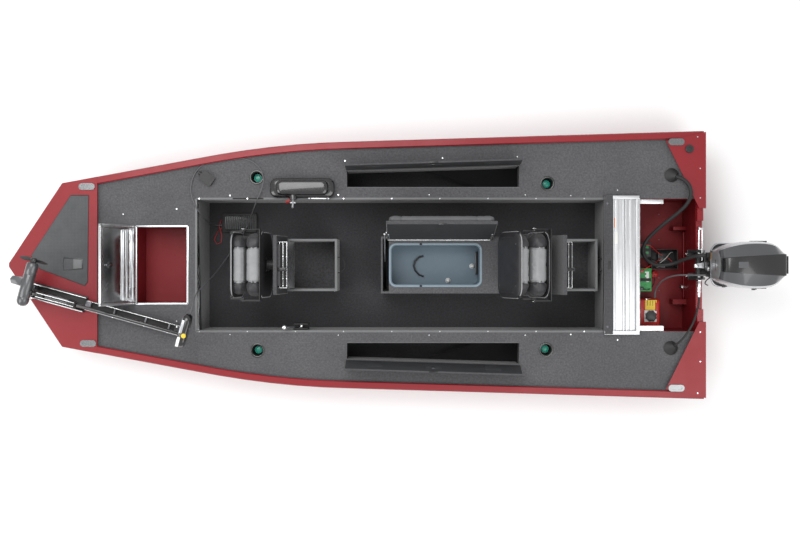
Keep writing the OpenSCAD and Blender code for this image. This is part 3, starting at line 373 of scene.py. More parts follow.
# every solid of the frame gets its finish
solidFinish = {
    "hullRed": "hull_sides transom",
    "capRed": "gunwale_rails bow_cap",
    "linerRed": "bow_hatch_tray well_sides",
    "bareMetal": "hull_bottom bow_hatch_lid stern_hatch_lid troll_arm strut_rod",
    "deckCarpet": "bow_deck side_decks aft_deck seat_box_fore seat_box_aft livewell_box",
    # cockpit floor, walls and bulkheads get the darker carpet, painted shade of the sunken cockpit
    "floorCarpetShaded": "cockpit_floor cockpit_walls bulkheads",
    "lidCarpet": "seat_lid_fore seat_lid_aft livewell_lid rod_lid_port rod_lid_starboard",
    # the rod lockers get the near-black liner, painted shade inside them
    "lockerLinerShade": "rod_lockers",
    "seatGrey": "seat_cushion_fore seat_cushion_aft seat_back_fore seat_back_aft livewell_pad",
    "blackPlastic": "light_socket cup_holders seat_pan_fore seat_pan_aft deck_sockets foot_pedal"
                    " troll_shaft troll_propeller batteries",
    "glossBlack": "control_console",
    "tubPlastic": "livewell_basin",
    "darkChrome": "cleats tow_eyes",
    "chrome": "steering_stick",
    "engineGrey": "cowl outboard_leg troll_pod",
    "engineSilver": "lower_cowl engine_block outboard_propeller",
    "tankRed": "fuel_tank",
    "bracketBlack": "strut_cylinder clamp_bracket swivel_bracket troll_mount",
}
for key, names in solidFinish.items():
    for name in names.split():
        solid = nodes[name]
        solid.data.materials.clear()
        solid.data.materials.append(finishes[key])
print("solids finished")

# mesh bits gathered into one piece; turn places what is added next
class Shape:
    def __init__(self, turn=None):
        self.mesh = bmesh.new()
        self.used = []
        self.turn = turn or Matrix.Identity(4)

    def take(self, part, finish, turn=None):
        if finish and finish not in self.used:
            self.used.append(finish)
        part.transform(self.turn @ (turn or Matrix.Identity(4)))
        bmesh.ops.recalc_face_normals(part, faces=part.faces)
        for face in part.faces:
            if finish:
                face.material_index = self.used.index(finish)
            face.smooth = True
        data = bpy.data.meshes.new("part")
        part.to_mesh(data)
        part.free()
        self.mesh.from_mesh(data)
        bpy.data.meshes.remove(data)

    def block(self, low, high, finish, soft=0.002, steps=2, turn=None):
        part = bmesh.new()
        bmesh.ops.create_cube(part, size=1.0)
        low, high = Vector(low), Vector(high)
        size = high - low
        for v in part.verts:
            v.co = Vector([(low[i] + high[i]) / 2 + v.co[i] * size[i] for i in range(3)])
        if soft:
            bmesh.ops.bevel(part, geom=part.edges[:], offset=min(soft, 0.45 * min(abs(c) for c in size)),
                            segments=steps, profile=0.5, affect="EDGES")
        self.take(part, finish, turn)

    def lathe(self, profile, at, axis, finish, sides=28, turn=None):
        part = bmesh.new()
        rings = []
        for radius, height in profile:
            if radius < 1e-6:
                rings.append([part.verts.new((0, 0, height))])
            else:
                rings.append([part.verts.new((radius * math.cos(k * math.tau / sides),
                              radius * math.sin(k * math.tau / sides), height)) for k in range(sides)])
        for a, b in zip(rings, rings[1:]):
            for k in range(sides):
                n = (k + 1) % sides
                corners = [a[k % len(a)], a[n % len(a)], b[n % len(b)], b[k % len(b)]]
                corners = list(dict.fromkeys(corners))
                if len(corners) > 2:
                    part.faces.new(corners)
        for ring in (rings[0], rings[-1]):
            if len(ring) > 1:
                part.faces.new(ring)
        way = Vector((0, 0, 1)).rotation_difference(Vector(axis)).to_matrix().to_4x4()
        part.transform(Matrix.Translation(at) @ way)
        self.take(part, finish, turn)

    # a round bar with softened ends
    def rod(self, a, b, radius, finish, sides=20, soft=0.0015, turn=None):
        a, b = Vector(a), Vector(b)
        length = (b - a).length
        soft = min(soft, radius * 0.5, length * 0.4)
        self.lathe([(0, 0), (radius - soft, 0), (radius - soft * 0.3, soft * 0.3), (radius, soft),
                    (radius, length - soft), (radius - soft * 0.3, length - soft * 0.3),
                    (radius - soft, length), (0, length)], a, b - a, finish, sides, turn)

    def plate(self, outline, low, high, finish, soft=0.0015, steps=2, turn=None):
        part = bmesh.new()
        face = part.faces.new([part.verts.new((x, y, low)) for x, y in outline])
        made = bmesh.ops.extrude_face_region(part, geom=[face])
        for v in made["geom"]:
            if isinstance(v, bmesh.types.BMVert):
                v.co.z = high
        if soft:
            rim = [e for e in part.edges if abs(e.verts[0].co.z - e.verts[1].co.z) < 1e-6]
            bmesh.ops.bevel(part, geom=rim, offset=soft, segments=steps, profile=0.5, affect="EDGES")
        self.take(part, finish, turn)

    # a tube along a line of points
    def tube(self, line, radius, finish, sides=10, closed=False, flat=1.0, turn=None):
        part = bmesh.new()
        line = [Vector(p) for p in line]
        count = len(line)
        rings = []
        side = None
        for i, p in enumerate(line):
            ahead = line[(i + 1) % count] if closed else line[min(count - 1, i + 1)]
            behind = line[(i - 1) % count] if closed else line[max(0, i - 1)]
            way = (ahead - behind).normalized()
            if side is None:
                side = way.orthogonal().normalized() if abs(way.z) > 0.9 else way.cross(Vector((0, 0,
                        1))).normalized()
            side = (side - way * side.dot(way)).normalized()
            up = way.cross(side)
            r = radius[i] if isinstance(radius, (list, tuple)) else radius
            rings.append([part.verts.new(p + side * math.cos(k * math.tau / sides) * r
                          + up * math.sin(k * math.tau / sides) * r * flat) for k in range(sides)])
        pairs = list(zip(rings, rings[1:])) + ([(rings[-1], rings[0])] if closed else [])
        for a, b in pairs:
            for k in range(sides):
                part.faces.new((a[k], a[(k + 1) % sides], b[(k + 1) % sides], b[k]))
        if not closed:
            part.faces.new(rings[0])
            part.faces.new(rings[-1])
        self.take(part, finish, turn)

    def skin(self, rings, finish, closed=True, ends=True, turn=None):
        part = bmesh.new()
        made = [[part.verts.new(p) for p in ring] for ring in rings]
        n = len(made[0])
        for a, b in zip(made, made[1:]):
            for k in range(n if closed else n - 1):
                part.faces.new((a[k], a[(k + 1) % n], b[(k + 1) % n], b[k]))
        if ends:
            part.faces.new(made[0])
            part.faces.new(made[-1])
        self.take(part, finish, turn)

    # rings of equal length whose bands have finishes of their own
    def banded(self, rings, names, other=None):
        part = bmesh.new()
        made = [[part.verts.new(p) for p in ring] for ring in rings]
        count = len(made[0])
        for r, (a, b) in enumerate(zip(made, made[1:])):
            for k in range(count):
                face = part.faces.new((a[k], a[(k + 1) % count], b[(k + 1) % count], b[k]))
                name = (other(r, k) if other else None) or names[k % len(names)]
                if name not in self.used:
                    self.used.append(name)
                face.material_index = self.used.index(name)
        for ring in (made[0], made[-1]):
            part.faces.new(ring).material_index = self.used.index(names[0])
        self.take(part, None)

    # pan-head screw, with a cross cut as a darker dish
    def screw(self, at, finish="chrome", size=0.004, axis=(0, 0, 1), turn=None):
        self.lathe([(size, -0.0004), (size, size * 0.25), (size * 0.8, size * 0.5), (size * 0.3,
                size * 0.62),
                    (size * 0.22, size * 0.3), (0, size * 0.25)], at, axis, finish, 12, turn)

    def make(self, name, body, slot, replaces=(), sharp=35.0):
        data = bpy.data.meshes.new(name)
        self.mesh.to_mesh(data)
        self.mesh.free()
        for finish in self.used:
            data.materials.append(finishes[finish])
        data.set_sharp_from_angle(angle=math.radians(sharp))
        piece = bpy.data.objects.new(name, data)
        bpy.context.collection.objects.link(piece)
        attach(piece, body)
        if replaces:
            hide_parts(*replaces)
        return piece


def rounded(width, depth, radius, steps=6, at=(0, 0)):
    points = []
    for k, (sx, sy) in enumerate(((1, 1), (-1, 1), (-1, -1), (1, -1))):
        for i in range(steps + 1):
            angle = (k + i / steps) * math.pi / 2
            points.append((at[0] + sx * (width / 2 - radius) + radius * math.cos(angle),
                           at[1] + sy * (depth / 2 - radius) + radius * math.sin(angle)))
    return points


def turned(at, angle=0.0, axis="Y"):
    return Matrix.Translation(at) @ Matrix.Rotation(math.radians(angle), 4, axis)


# where each moving lid or mount stands at rest
onForeLid = turned((0.528, 0, 0.302), 96)
onAftLid = turned((-1.370, 0, 0.302), 70)
onWellLid = turned((0, -0.190, 0.288), 105, "X")
onBowLid = turned((1.661, 0, 0.388), 114)
onSternLid = turned((-2.110, 0, 0.388), 180)
rodTurn = math.degrees(math.atan2(40, 1290))
onPortRodLid = turned((0.087, 0.712, 0.381), -rodTurn, "Z") @ Matrix.Rotation(math.radians(-108), 4, "X")
onStarboardRodLid = (turned((0.087, -0.712, 0.381), rodTurn, "Z")
                     @ Matrix.Rotation(math.radians(97), 4, "X"))
onMount = turned((2.4, 0.19, 0.45), -15.5, "Z")

# stern well: the painted inside of the hull, its floor and its transom, in a red darker than the hull red
# as painted shade of the sunken well
well = {"fore": -1.887, "aft": -2.5435, "half": 0.4975, "low": -0.0395, "high": 0.358}
lining = Shape()
lining.block((well["aft"], -well["half"], well["low"]), (well["fore"], well["half"], -0.0365),
             "wellRedShaded", soft=0)
lining.block((-2.5440, -0.4970, -0.0365), (-2.5405, 0.4970, 0.345), "wellRedShaded", soft=0)
for side in (-1, 1):
    lining.block((well["aft"], side * 0.4975, -0.0365), (-2.1, side * 0.4945, 0.352), "wellRedShaded", soft=0)
    lining.block((-2.30, side * 0.4945, 0.300), (-2.115, side * 0.4600, 0.352), "bareMetal", 0.002)
    lining.block((-2.5405, side * 0.30, -0.0365), (-2.44, side * 0.27, 0.09), "wellRedShaded", 0.004)
lining.block((-2.5405, -0.26, 0.02), (-2.528, 0.26, 0.045), "wellRedShaded", 0.004)
for k in range(9):
    lining.screw((-2.36, -0.4 + k * 0.1, -0.0365), "darkSteel", 0.005)
lining.rod((-2.5404, 0.17, 0.03), (-2.515, 0.17, 0.03), 0.017, "brushedMetal")
lining.rod((-2.515, 0.17, 0.03), (-2.505, 0.17, 0.03), 0.011, "softRubber")
lining.make("wellLining", "boat", "liner_red")

# stern lid lies upside down: skin, stiffening ribs and a carpeted rim
sternLid = Shape(onSternLid)
low, high = -0.012, 0.012
sternLid.block((-0.262, -0.520, 0.0085), (0, 0.520, 0.0125), "lidCarpet", 0.002)
sternLid.block((-0.258, -0.516, 0.0045), (-0.002, 0.516, 0.0085), "ribMetal", 0.0008)
for side in (-1, 1):
    sternLid.block((-0.260, side * 0.518, low), (-0.001, side * 0.494, 0.0045), "ribMetal", 0.0015)
sternLid.block((-0.262, -0.520, low - 0.0005), (-0.196, 0.520, 0.0084), "lidCarpet", 0.004)
sternLid.block((-0.196, -0.494, low), (-0.190, 0.494, 0.0045), "ribMetal", 0.001)
sternLid.block((-0.026, -0.494, low), (-0.001, 0.494, 0.0045), "ribMetal", 0.0015)
for at, width, lift in ((-0.165, 0.030, 0.0045), (-0.118, 0.012, 0.009), (-0.098, 0.012, 0.009),
                        (-0.062, 0.022, 0.006)):
    sternLid.block((at - width / 2, -0.494, 0.0045 - lift), (at + width / 2, 0.494, 0.0046), "ribMetal",
                   0.0012)
sternLid.block((-0.1086, -0.493, 0.0038), (-0.1074, 0.493, 0.0047), "shadowGap", 0)
sternLid.block((-0.194, -0.352, 0.0022), (-0.168, -0.280, 0.0034), "orangePlate", 0.0004)
sternLid.block((-0.187, -0.250, -0.0022), (-0.162, -0.158, 0.0002), "whitePlate", 0.0004)
sternLid.block((-0.074, 0.262, -0.0024), (-0.052, 0.342, -0.0012), "whitePlate", 0.0004)
sternLid.tube([(0, -0.50, 0), (0, 0.50, 0)], 0.006, "brushedMetal", 14)
for k in range(15):
    at = -0.483 + k * 0.069
    sternLid.tube([(0, at - 0.016, 0), (0, at + 0.016, 0)], 0.0072, "brushedMetal", 14)
    sternLid.screw((-0.012, at, low), "chrome", 0.0032, (0, 0, -1))
sternLid.block((-0.236, -0.03, low - 0.003), (-0.214, 0.03, low), "blackPlastic", 0.001)
for y in (-0.46, 0.46):
    sternLid.rod((-0.24, y, low - 0.002), (-0.24, y, low + 0.002), 0.008, "darkSteel")
sternLid.make("sternLidDetail", "stern_hatch", "bare_aluminium", ["stern_hatch_lid"])

# batteries in their trays, with terminals and leads
box = Shape()
def battery(x0, x1, y0, y1, z0, z1, top, name):
    box.block((x0, y0, z0), (x1, y1, z1 - 0.022), "batteryCase", 0.006)
    box.block((x0 - 0.002, y0 - 0.002, z1 - 0.024), (x1 + 0.002, y1 + 0.002, z1 - 0.003), top, 0.005)
    for k in range(6):
        y = y0 + (y1 - y0) * (k + 0.5) / 6
        box.lathe([(0, 0), (0.009, 0), (0.009, 0.003), (0.007, 0.004), (0, 0.004)],
                  ((x0 + x1) / 2, y, z1 - 0.0032), (0, 0, 1), top, 14)
    for y, cap in ((y0 + 0.02, "signalRed"), (y1 - 0.02, "blackPlastic")):
        box.rod((x1 - 0.02, y, z1 - 0.004), (x1 - 0.02, y, z1 + 0.012), 0.008, "darkSteel")
        box.block((x1 - 0.034, y - 0.011, z1 - 0.001), (x1 - 0.006, y + 0.011, z1 + 0.007), cap, 0.002)
    box.block((x0 + 0.004, (y0 + y1) / 2 - 0.012, z0 + 0.02), (x1 + 0.005, (y0 + y1) / 2 + 0.012,
                                                               z1 + 0.001),
              "softRubber", 0.001)
    for y in (y0 - 0.004, y1):
        box.block((x0 - 0.004, y, z0), (x1 + 0.004, y + 0.004, z0 + 0.03), "blackPlastic", 0.001)
battery(-2.255, -2.160, 0.026, 0.200, -0.0395, 0.160, "greenCase", "port")
battery(-2.255, -2.165, -0.172, -0.060, -0.0395, 0.150, "batteryCase", "starboard")
box.block((-2.235, -0.150, 0.1478), (-2.185, -0.085, 0.1495), "greenCase", 0.001)
box.block((-2.236, 0.050, 0.1575), (-2.205, 0.130, 0.1592), "whitePlate", 0.0005)
# open tray behind them
box.block((-2.485, -0.123, -0.0395), (-2.280, 0.032, -0.034), "blackPlastic", 0.001)
for a, b in (((-2.485, -0.123), (-2.480, 0.032)), ((-2.285, -0.123), (-2.280, 0.032)),
             ((-2.485, -0.123), (-2.280, -0.118)), ((-2.485, 0.027), (-2.280, 0.032))):
    box.block((*a, -0.034), (*b, 0.052), "blackPlastic", 0.0015)
box.lathe([(0, 0), (0.030, 0), (0.030, 0.008), (0.026, 0.014), (0.024, 0.026), (0.012, 0.030),
           (0, 0.030)], (-2.318, 0.072, -0.036), (0, 0, 1), "signalRed", 24)
box.rod((-2.318, 0.072, -0.006), (-2.318, 0.072, 0.004), 0.007, "darkSteel")
box.block((-2.318 - 0.018, 0.066, 0.000), (-2.318 + 0.018, 0.078, 0.008), "signalRed", 0.002)
box.block((-2.42, -0.092, -0.034), (-2.34, -0.030, 0.020), "fuseBlack", 0.004)
box.block((-2.40, -0.012, -0.034), (-2.33, 0.018, 0.006), "whitePlate", 0.003)
wires = (
    ("signalRed", 0.0032, [(-2.175, 0.046, 0.165), (-2.215, 0.020, 0.185), (-2.28, -0.01, 0.140),
                           (-2.33, -0.035, 0.060), (-2.36, -0.05, 0.022)]),
    ("softRubber", 0.0032, [(-2.175, 0.180, 0.165), (-2.225, 0.190, 0.178), (-2.285, 0.155, 0.09),
                            (-2.312, 0.105, 0.02), (-2.318, 0.084, 0.004)]),
    ("signalRed", 0.0026, [(-2.185, -0.152, 0.155), (-2.24, -0.150, 0.166), (-2.31, -0.105, 0.095),
                           (-2.37, -0.075, 0.030)]),
    ("softRubber", 0.0032, [(-2.185, -0.080, 0.155), (-2.235, -0.05, 0.176), (-2.30, -0.035, 0.11),
                            (-2.35, -0.01, 0.03), (-2.365, 0.002, 0.008)]),
    ("whitePlate", 0.0018, [(-2.35, -0.012, 0.008), (-2.39, -0.05, 0.045), (-2.43, -0.095, 0.040),
                            (-2.46, -0.100, -0.01), (-2.466, -0.098, -0.032)]),
    ("signalRed", 0.0018, [(-2.41, -0.060, 0.020), (-2.44, -0.03, 0.040), (-2.462, 0.0, 0.010),
                           (-2.468, 0.010, -0.032)]),
)
for finish, radius, points in wires:
    box.tube(smoothLine(points, 6), radius, finish, 8)
box.make("batteryGear", "boat", "battery_case", ["batteries"])

# fuel tank with its filler cap, gauge plates, handle and priming bulb
tank = Shape(turned((-2.236, 0.374, -0.0395)))
shell = rounded(0.180, 0.232, 0.022, 5)
shrunk = lambda e: [(x * (1 - e / 0.09), y * (1 - e / 0.116)) for x, y in shell]
tank.skin([[(x, y, z) for x, y in shrunk(e)] for e, z in
           ((0.010, 0.0), (0.002, 0.006), (0.0, 0.020), (0.0, 0.075), (0.003, 0.080), (0.003, 0.086),
            (0.0, 0.091), (0.0, 0.165), (0.002, 0.180), (0.010, 0.194), (0.024, 0.200))], "tankRed")
for side in (-1, 1):
    tank.block((side * 0.058 - 0.012, -0.085, 0.196), (side * 0.058 + 0.012, -0.020, 0.206), "tankRed",
               0.004)
tank.block((-0.058, -0.105, 0.199), (0.030, -0.030, 0.2016), "yellowPlate", 0.0006)
tank.block((-0.058, -0.026, 0.199), (0.036, 0.062, 0.2016), "whitePlate", 0.0006)
for k in range(4):
    tank.block((-0.050 + 0.02 * k, -0.100, 0.2015), (-0.046 + 0.02 * k, -0.062, 0.2021), "fuseBlack", 0)
tank.block((0.044, -0.098, 0.1995), (0.078, 0.088, 0.2035), "tankRed", 0.002)
for k in range(5):
    tank.block((0.050, -0.088 + 0.03 * k, 0.2034), (0.072, -0.076 + 0.03 * k, 0.2052), "tankRed", 0.001)
cap = [(0.046 * (1.0 if k % 2 else 0.86) * math.cos(k * math.tau / 16),
        0.046 * (1.0 if k % 2 else 0.86) * math.sin(k * math.tau / 16)) for k in range(16)]
tank.plate(cap, 0.2005, 0.216, "fuseBlack", 0.0025, turn=turned((-0.014, 0.018, 0)))
tank.lathe([(0.034, 0), (0.034, 0.004), (0.020, 0.0065), (0.0, 0.0065)], (-0.014, 0.018, 0.2155),
           (0, 0, 1), "fuseBlack", 20)
tank.rod((0.02, -0.112, 0.205), (0.02, -0.112, 0.160), 0.006, "brushedMetal")
tank.block((-0.026, -0.1165, 0.145), (-0.002, -0.104, 0.172), "brushedMetal", 0.002)
tank.rod((-0.014, -0.104, 0.1592), (-0.014, -0.1163, 0.1592), 0.009, "brushedMetal")
for side in (-1, 1):
    tank.tube([(side * 0.062, 0.06, 0.196), (side * 0.062, 0.085, 0.212), (side * 0.062, 0.1, 0.198)],
              0.006, "tankRed", 10)
tank.make("fuelTankDetail", "boat", "tank_red", ["fuel_tank"])

# engine cowl: silver flanks, dark upper facets and a gloss black spine
cowlSections = [
    # x, half width, shoulder half width, spine half width, shoulder z, spine z
    (-2.584, 0.086, 0.074, 0.036, 0.735, 0.770),
    (-2.590, 0.108, 0.098, 0.044, 0.770, 0.815),
    (-2.612, 0.126, 0.112, 0.048, 0.812, 0.862),
    (-2.660, 0.146, 0.128, 0.052, 0.834, 0.886),
    (-2.730, 0.162, 0.143, 0.057, 0.848, 0.898),
    (-2.800, 0.168, 0.149, 0.061, 0.853, 0.903),
    (-2.880, 0.168, 0.149, 0.066, 0.850, 0.902),
    (-2.950, 0.160, 0.140, 0.070, 0.838, 0.892),
    (-3.000, 0.142, 0.116, 0.073, 0.820, 0.876),
    (-3.036, 0.118, 0.086, 0.073, 0.802, 0.860),
    (-3.050, 0.104, 0.078, 0.070, 0.792, 0.838),
    (-3.066, 0.084, 0.066, 0.058, 0.765, 0.806),
    (-3.078, 0.058, 0.046, 0.040, 0.728, 0.762),
]


def cowlRing(x, wide, shoulder, spine, shoulderZ, spineZ):
    mid = 0.602 + (shoulderZ - 0.602) * 0.45
    halfRing = [(wide * 0.93, 0.602), (wide * 0.985, 0.622), (wide, mid), (wide * 0.985, shoulderZ - 0.055),
                (shoulder + 0.007, shoulderZ - 0.012), (shoulder, shoulderZ), (spine + 0.003,
                        spineZ - 0.002),
                (spine - 0.003, spineZ + 0.001), (0.0, spineZ + 0.003)]
    return [(x, y, z) for y, z in halfRing] + [(x, -y, z) for y, z in reversed(halfRing[:-1])]


cowlBands = ["engineSilver"] * 4 + ["engineSilver", "engineGrey", "engineBlack", "engineBlack"]
cowlBands = cowlBands + list(reversed(cowlBands)) + ["engineSilver"]
cowlPiece = Shape()
line = [Vector(s) for s in cowlSections]
sections = []
for i in range(len(cowlSections) - 1):
    for k in range(3):
        a, b = cowlSections[i], cowlSections[i + 1]
        before, after = cowlSections[max(0, i - 1)], cowlSections[min(len(cowlSections) - 1, i + 2)]
        s = k / 3
        sections.append([b0 + s * ((c0 - a0) / 2 + s * ((a0 - b0 * 2.5 + c0 * 2 - d0 / 2)
                         + s * ((b0 * 3 - c0 * 3 + d0 - a0) / 2)))
                         for a0, b0, c0, d0 in zip(before, a, b, after)])
sections.append(cowlSections[-1])
cowlPiece.banded([cowlRing(*s) for s in sections], cowlBands,
                 lambda ring,
                 band: "engineSilver" if sections[ring][0] < -3.040 or sections[ring][0] > -2.588
                 else None)
# recessed slot across the back, latches and the rubber seal under the rim
cowlPiece.block((-3.060, -0.062, 0.829), (-3.050, 0.062, 0.8445), "softRubber", 0.002)
for x, y in ((-2.665, 0.1500), (-2.880, 0.1695)):
    cowlPiece.block((x - 0.016, y - 0.006, 0.640), (x + 0.016, y + 0.009, 0.668), "fuseBlack", 0.004)
    cowlPiece.block((x - 0.009, y + 0.004, 0.618), (x + 0.009, y + 0.013, 0.648), "fuseBlack", 0.003)
cowlPiece.block((-3.088, -0.016, 0.640), (-3.070, 0.016, 0.672), "fuseBlack", 0.004)
cowlPiece.block((-2.760, -0.022, 0.8995), (-2.690, 0.020, 0.9045), "engineGrey", 0.001)
cowlPiece.block((-2.600, -0.040, 0.700), (-2.5835, 0.040, 0.716), "softRubber", 0.003)
for side in (-1, 1):
    for k in range(5):
        x = -2.84 - k * 0.022
        cowlPiece.block((x - 0.006, side * 0.1655, 0.690 + k * 0.006), (x + 0.006, side * 0.1700,
                0.735 + k * 0.006),
                        "fuseBlack", 0.002)
cowlPiece.make("cowlShell", "engine", "engine_paint", ["cowl"], sharp=16)

# lower cowl: pan below the split, dark front with its glands, filter and linkage
pan = Shape()
def panRing(z, wide, front, back, soft):
    length, mid = front - back, (front + back) / 2
    return [(x, y, z) for x, y in rounded(length, wide * 2, soft, 6, (mid, 0))]
pan.skin([panRing(0.5055, 0.112, -2.640, -3.012, 0.045), panRing(0.512, 0.119, -2.632, -3.020, 0.05),
          panRing(0.552, 0.141, -2.606, -3.046, 0.06), panRing(0.582, 0.157, -2.588, -3.066, 0.06),
          panRing(0.592, 0.161, -2.582, -3.071, 0.06), panRing(0.5985, 0.158, -2.585, -3.068, 0.06)],
         "engineSilver")
pan.skin([panRing(0.5975, 0.153, -2.590, -3.064, 0.06), panRing(0.6045, 0.153, -2.590, -3.064, 0.06)],
         "softRubber")
pan.block((-2.640, -0.094, 0.512), (-2.5865, 0.094, 0.594), "fuseBlack", 0.006)
for y, r in ((-0.070, 0.022), (0.075, 0.012)):
    pan.lathe([(0, 0), (r + 0.004, 0), (r + 0.004, 0.006), (r, 0.010), (r * 0.9, 0.022), (r, 0.026), (r,
            0.050),
               (0, 0.050)], (-2.610, y, 0.560), (1, 0, 0), "softRubber", 24)
pan.rod((-2.600, -0.030, 0.582), (-2.600, -0.092, 0.602), 0.019, "amberGlass", 24)
pan.rod((-2.598, -0.096, 0.6), (-2.598, -0.104, 0.603), 0.022, "fuseBlack", 24)
pan.rod((-2.585, -0.012, 0.545), (-2.572, -0.012, 0.545), 0.020, "fuseBlack", 20)
pan.tube([(-2.576, 0.028 + 0.018 * math.cos(a), 0.552 + 0.018 * math.sin(a)) for a in
          [k * math.tau / 20 for k in range(20)]], 0.0028, "chrome", 8, closed=True)
pan.block((-2.588, 0.012, 0.520), (-2.577, 0.044, 0.536), "brushedMetal", 0.002)
for points, finish, radius in (
        ([(-2.588, -0.05, 0.525), (-2.560, -0.03, 0.528), (-2.558, 0.02, 0.530), (-2.588, 0.05, 0.528)],
         "fuseBlack", 0.005),
        ([(-2.588, 0.088, 0.585), (-2.560, 0.112, 0.572), (-2.556, 0.135, 0.548), (-2.580, 0.150, 0.535)],
         "softRubber", 0.004),
        ([(-2.588, -0.085, 0.53), (-2.566, -0.07, 0.522), (-2.564, -0.04, 0.520), (-2.588, -0.02, 0.515)],
         "hoseGrey", 0.0045)):
    pan.tube(smoothLine(points, 6), radius, finish, 8)
for y in (-0.085, -0.045, 0.0, 0.048, 0.088):
    pan.screw((-2.5866, y, 0.588), "chrome", 0.004, (1, 0, 0))
pan.make("lowerCowlPan", "engine", "engine_silver", ["lower_cowl"], sharp=28)

# transom clamp, tilt tube, steering nut and ram
clamp = Shape()
cheek = [(-2.598, 0.3528), (-2.480, 0.3528), (-2.490, 0.385), (-2.522, 0.444), (-2.568, 0.444), (-2.598,
        0.400)]
for side in (-1, 1):
    inner, outer = side * 0.060, side * 0.110
    clamp.block((-2.598, inner, 0.080), (-2.5906, outer, 0.3508), "bracketBlack", 0.003)
    clamp.block((-2.598, inner, 0.3508), (-2.480, outer, 0.365), "bracketBlack", 0.004)
    clamp.block((-2.5444, inner, 0.250), (-2.532, outer, 0.352), "bracketBlack", 0.003)
    clamp.plate(cheek, side * 0.101 - 0.009, side * 0.101 + 0.009, "bracketBlack", 0.003,
                turn=Matrix.Rotation(math.pi / 2, 4, "X") @ Matrix.Scale(1, 4))
    clamp.rod((-2.534, side * 0.084, 0.300), (-2.478, side * 0.084, 0.300), 0.009, "chrome")
    clamp.lathe([(0, 0), (0.022, 0), (0.022, 0.006), (0.012, 0.010), (0.0, 0.010)],
                (-2.5445, side * 0.084, 0.300), (1, 0, 0), "darkSteel", 20)
    clamp.rod((-2.484, side * 0.084, 0.270), (-2.484, side * 0.084, 0.330), 0.0055, "chrome")
    for z in (0.110, 0.180, 0.250, 0.320):
        clamp.lathe([(0.011, 0), (0.011, 0.005), (0.006, 0.009), (0, 0.009)], (-2.598, side * 0.085, z),
                    (-1, 0, 0), "chrome", 6)
    clamp.rod((-2.545, side * 0.1095, 0.425), (-2.545, side * 0.119, 0.425), 0.019, "chrome", 6)
clamp.rod((-2.545, 0.110, 0.425), (-2.545, -0.110, 0.425), 0.0118, "brushedMetal")
clamp.rod((-2.545, 0.119, 0.425), (-2.545, 0.165, 0.425), 0.015, "brushedMetal", 6)
clamp.lathe([(0, 0), (0.016, 0), (0.016, 0.012), (0.0135, 0.014), (0.0135, 0.022), (0.016, 0.024), (0.016,
        0.036),
             (0.012, 0.040), (0.011, 0.066), (0.0095, 0.0725), (0, 0.0725)], (-2.545, 0.1655, 0.425), (0,
                     1, 0),
            "chrome", 24)
clamp.rod((-2.545, -0.110, 0.425), (-2.545, -0.275, 0.425), 0.0078, "chrome")
clamp.rod((-2.563, -0.030, 0.447), (-2.563, -0.270, 0.447), 0.006, "chrome")
clamp.block((-2.570, -0.276, 0.414), (-2.536, -0.262, 0.456), "brushedMetal", 0.003)
clamp.lathe([(0.010, 0), (0.010, 0.006), (0.004, 0.009), (0, 0.009)], (-2.545, -0.276, 0.425), (0, -1, 0),
            "chrome", 6)
clamp.make("transomClamp", "boat", "bracket_black", ["clamp_bracket"])

# padded pieces: a remeshed copy of a rounded block, blown up a little as cloth
padding = {"voxel": 0.006, "pressure": 4.0, "frames": 20}


def swell(shape, cap):
    obj = bpy.data.objects.new("padDraft", shape)
    bpy.context.collection.objects.link(obj)
    bpy.context.view_layer.objects.active = obj
    remesh = obj.modifiers.new("remesh", "REMESH")
    remesh.mode = "VOXEL"
    remesh.voxel_size = padding["voxel"]
    graph = bpy.context.evaluated_depsgraph_get()
    data = bpy.data.meshes.new_from_object(obj.evaluated_get(graph))
    obj.modifiers.clear()
    obj.data = data
    rest = [v.co.copy() for v in data.vertices]
    cloth = obj.modifiers.new("cloth", "CLOTH")
    cloth.settings.use_pressure = True
    cloth.settings.uniform_pressure_force = padding["pressure"]
    cloth.settings.effector_weights.gravity = 0
    cloth.settings.quality = 5
    stage = bpy.context.scene
    stage.frame_start, stage.frame_end = 1, padding["frames"]
    for step in range(1, padding["frames"] + 1):
        stage.frame_set(step)
    graph = bpy.context.evaluated_depsgraph_get()
    blown = bpy.data.meshes.new_from_object(obj.evaluated_get(graph))
    obj.modifiers.clear()
    for v, home, moved in zip(data.vertices, rest, [w.co.copy() for w in blown.vertices]):
        away = moved - home
        v.co = home + away * min(1.0, cap / max(away.length, 1e-9))
    bpy.data.meshes.remove(blown)
    stage.frame_set(1)
    bpy.data.objects.remove(obj)
    return data


# a pad in its own frame: rounded outline, sides drawn in, softened rim
def padShape(outline, low, high, round):
    shape = bmesh.new()
    cx = sum(p[0] for p in outline) / len(outline)
    cy = sum(p[1] for p in outline) / len(outline)
    reach = max(abs(p[0] - cx) for p in outline)
    rings = []
    for e, z in ((round, low), (round * 0.3, low + round * 0.3), (0, low + round), (0, high - round),
                 (round * 0.3, high - round * 0.3), (round, high)):
        rings.append([shape.verts.new((cx + (x - cx) * (1 - e / reach), cy + (y - cy) * (1 - e / reach), z))
                      for x, y in outline])
    n = len(outline)
    for a, b in zip(rings, rings[1:]):
        for k in range(n):
            shape.faces.new((a[k], a[(k + 1) % n], b[(k + 1) % n], b[k]))
    shape.faces.new(rings[0])
    shape.faces.new(rings[-1])
    bmesh.ops.recalc_face_normals(shape, faces=shape.faces)
    data = bpy.data.meshes.new("padShape")
    shape.to_mesh(data)
    shape.free()
    return data


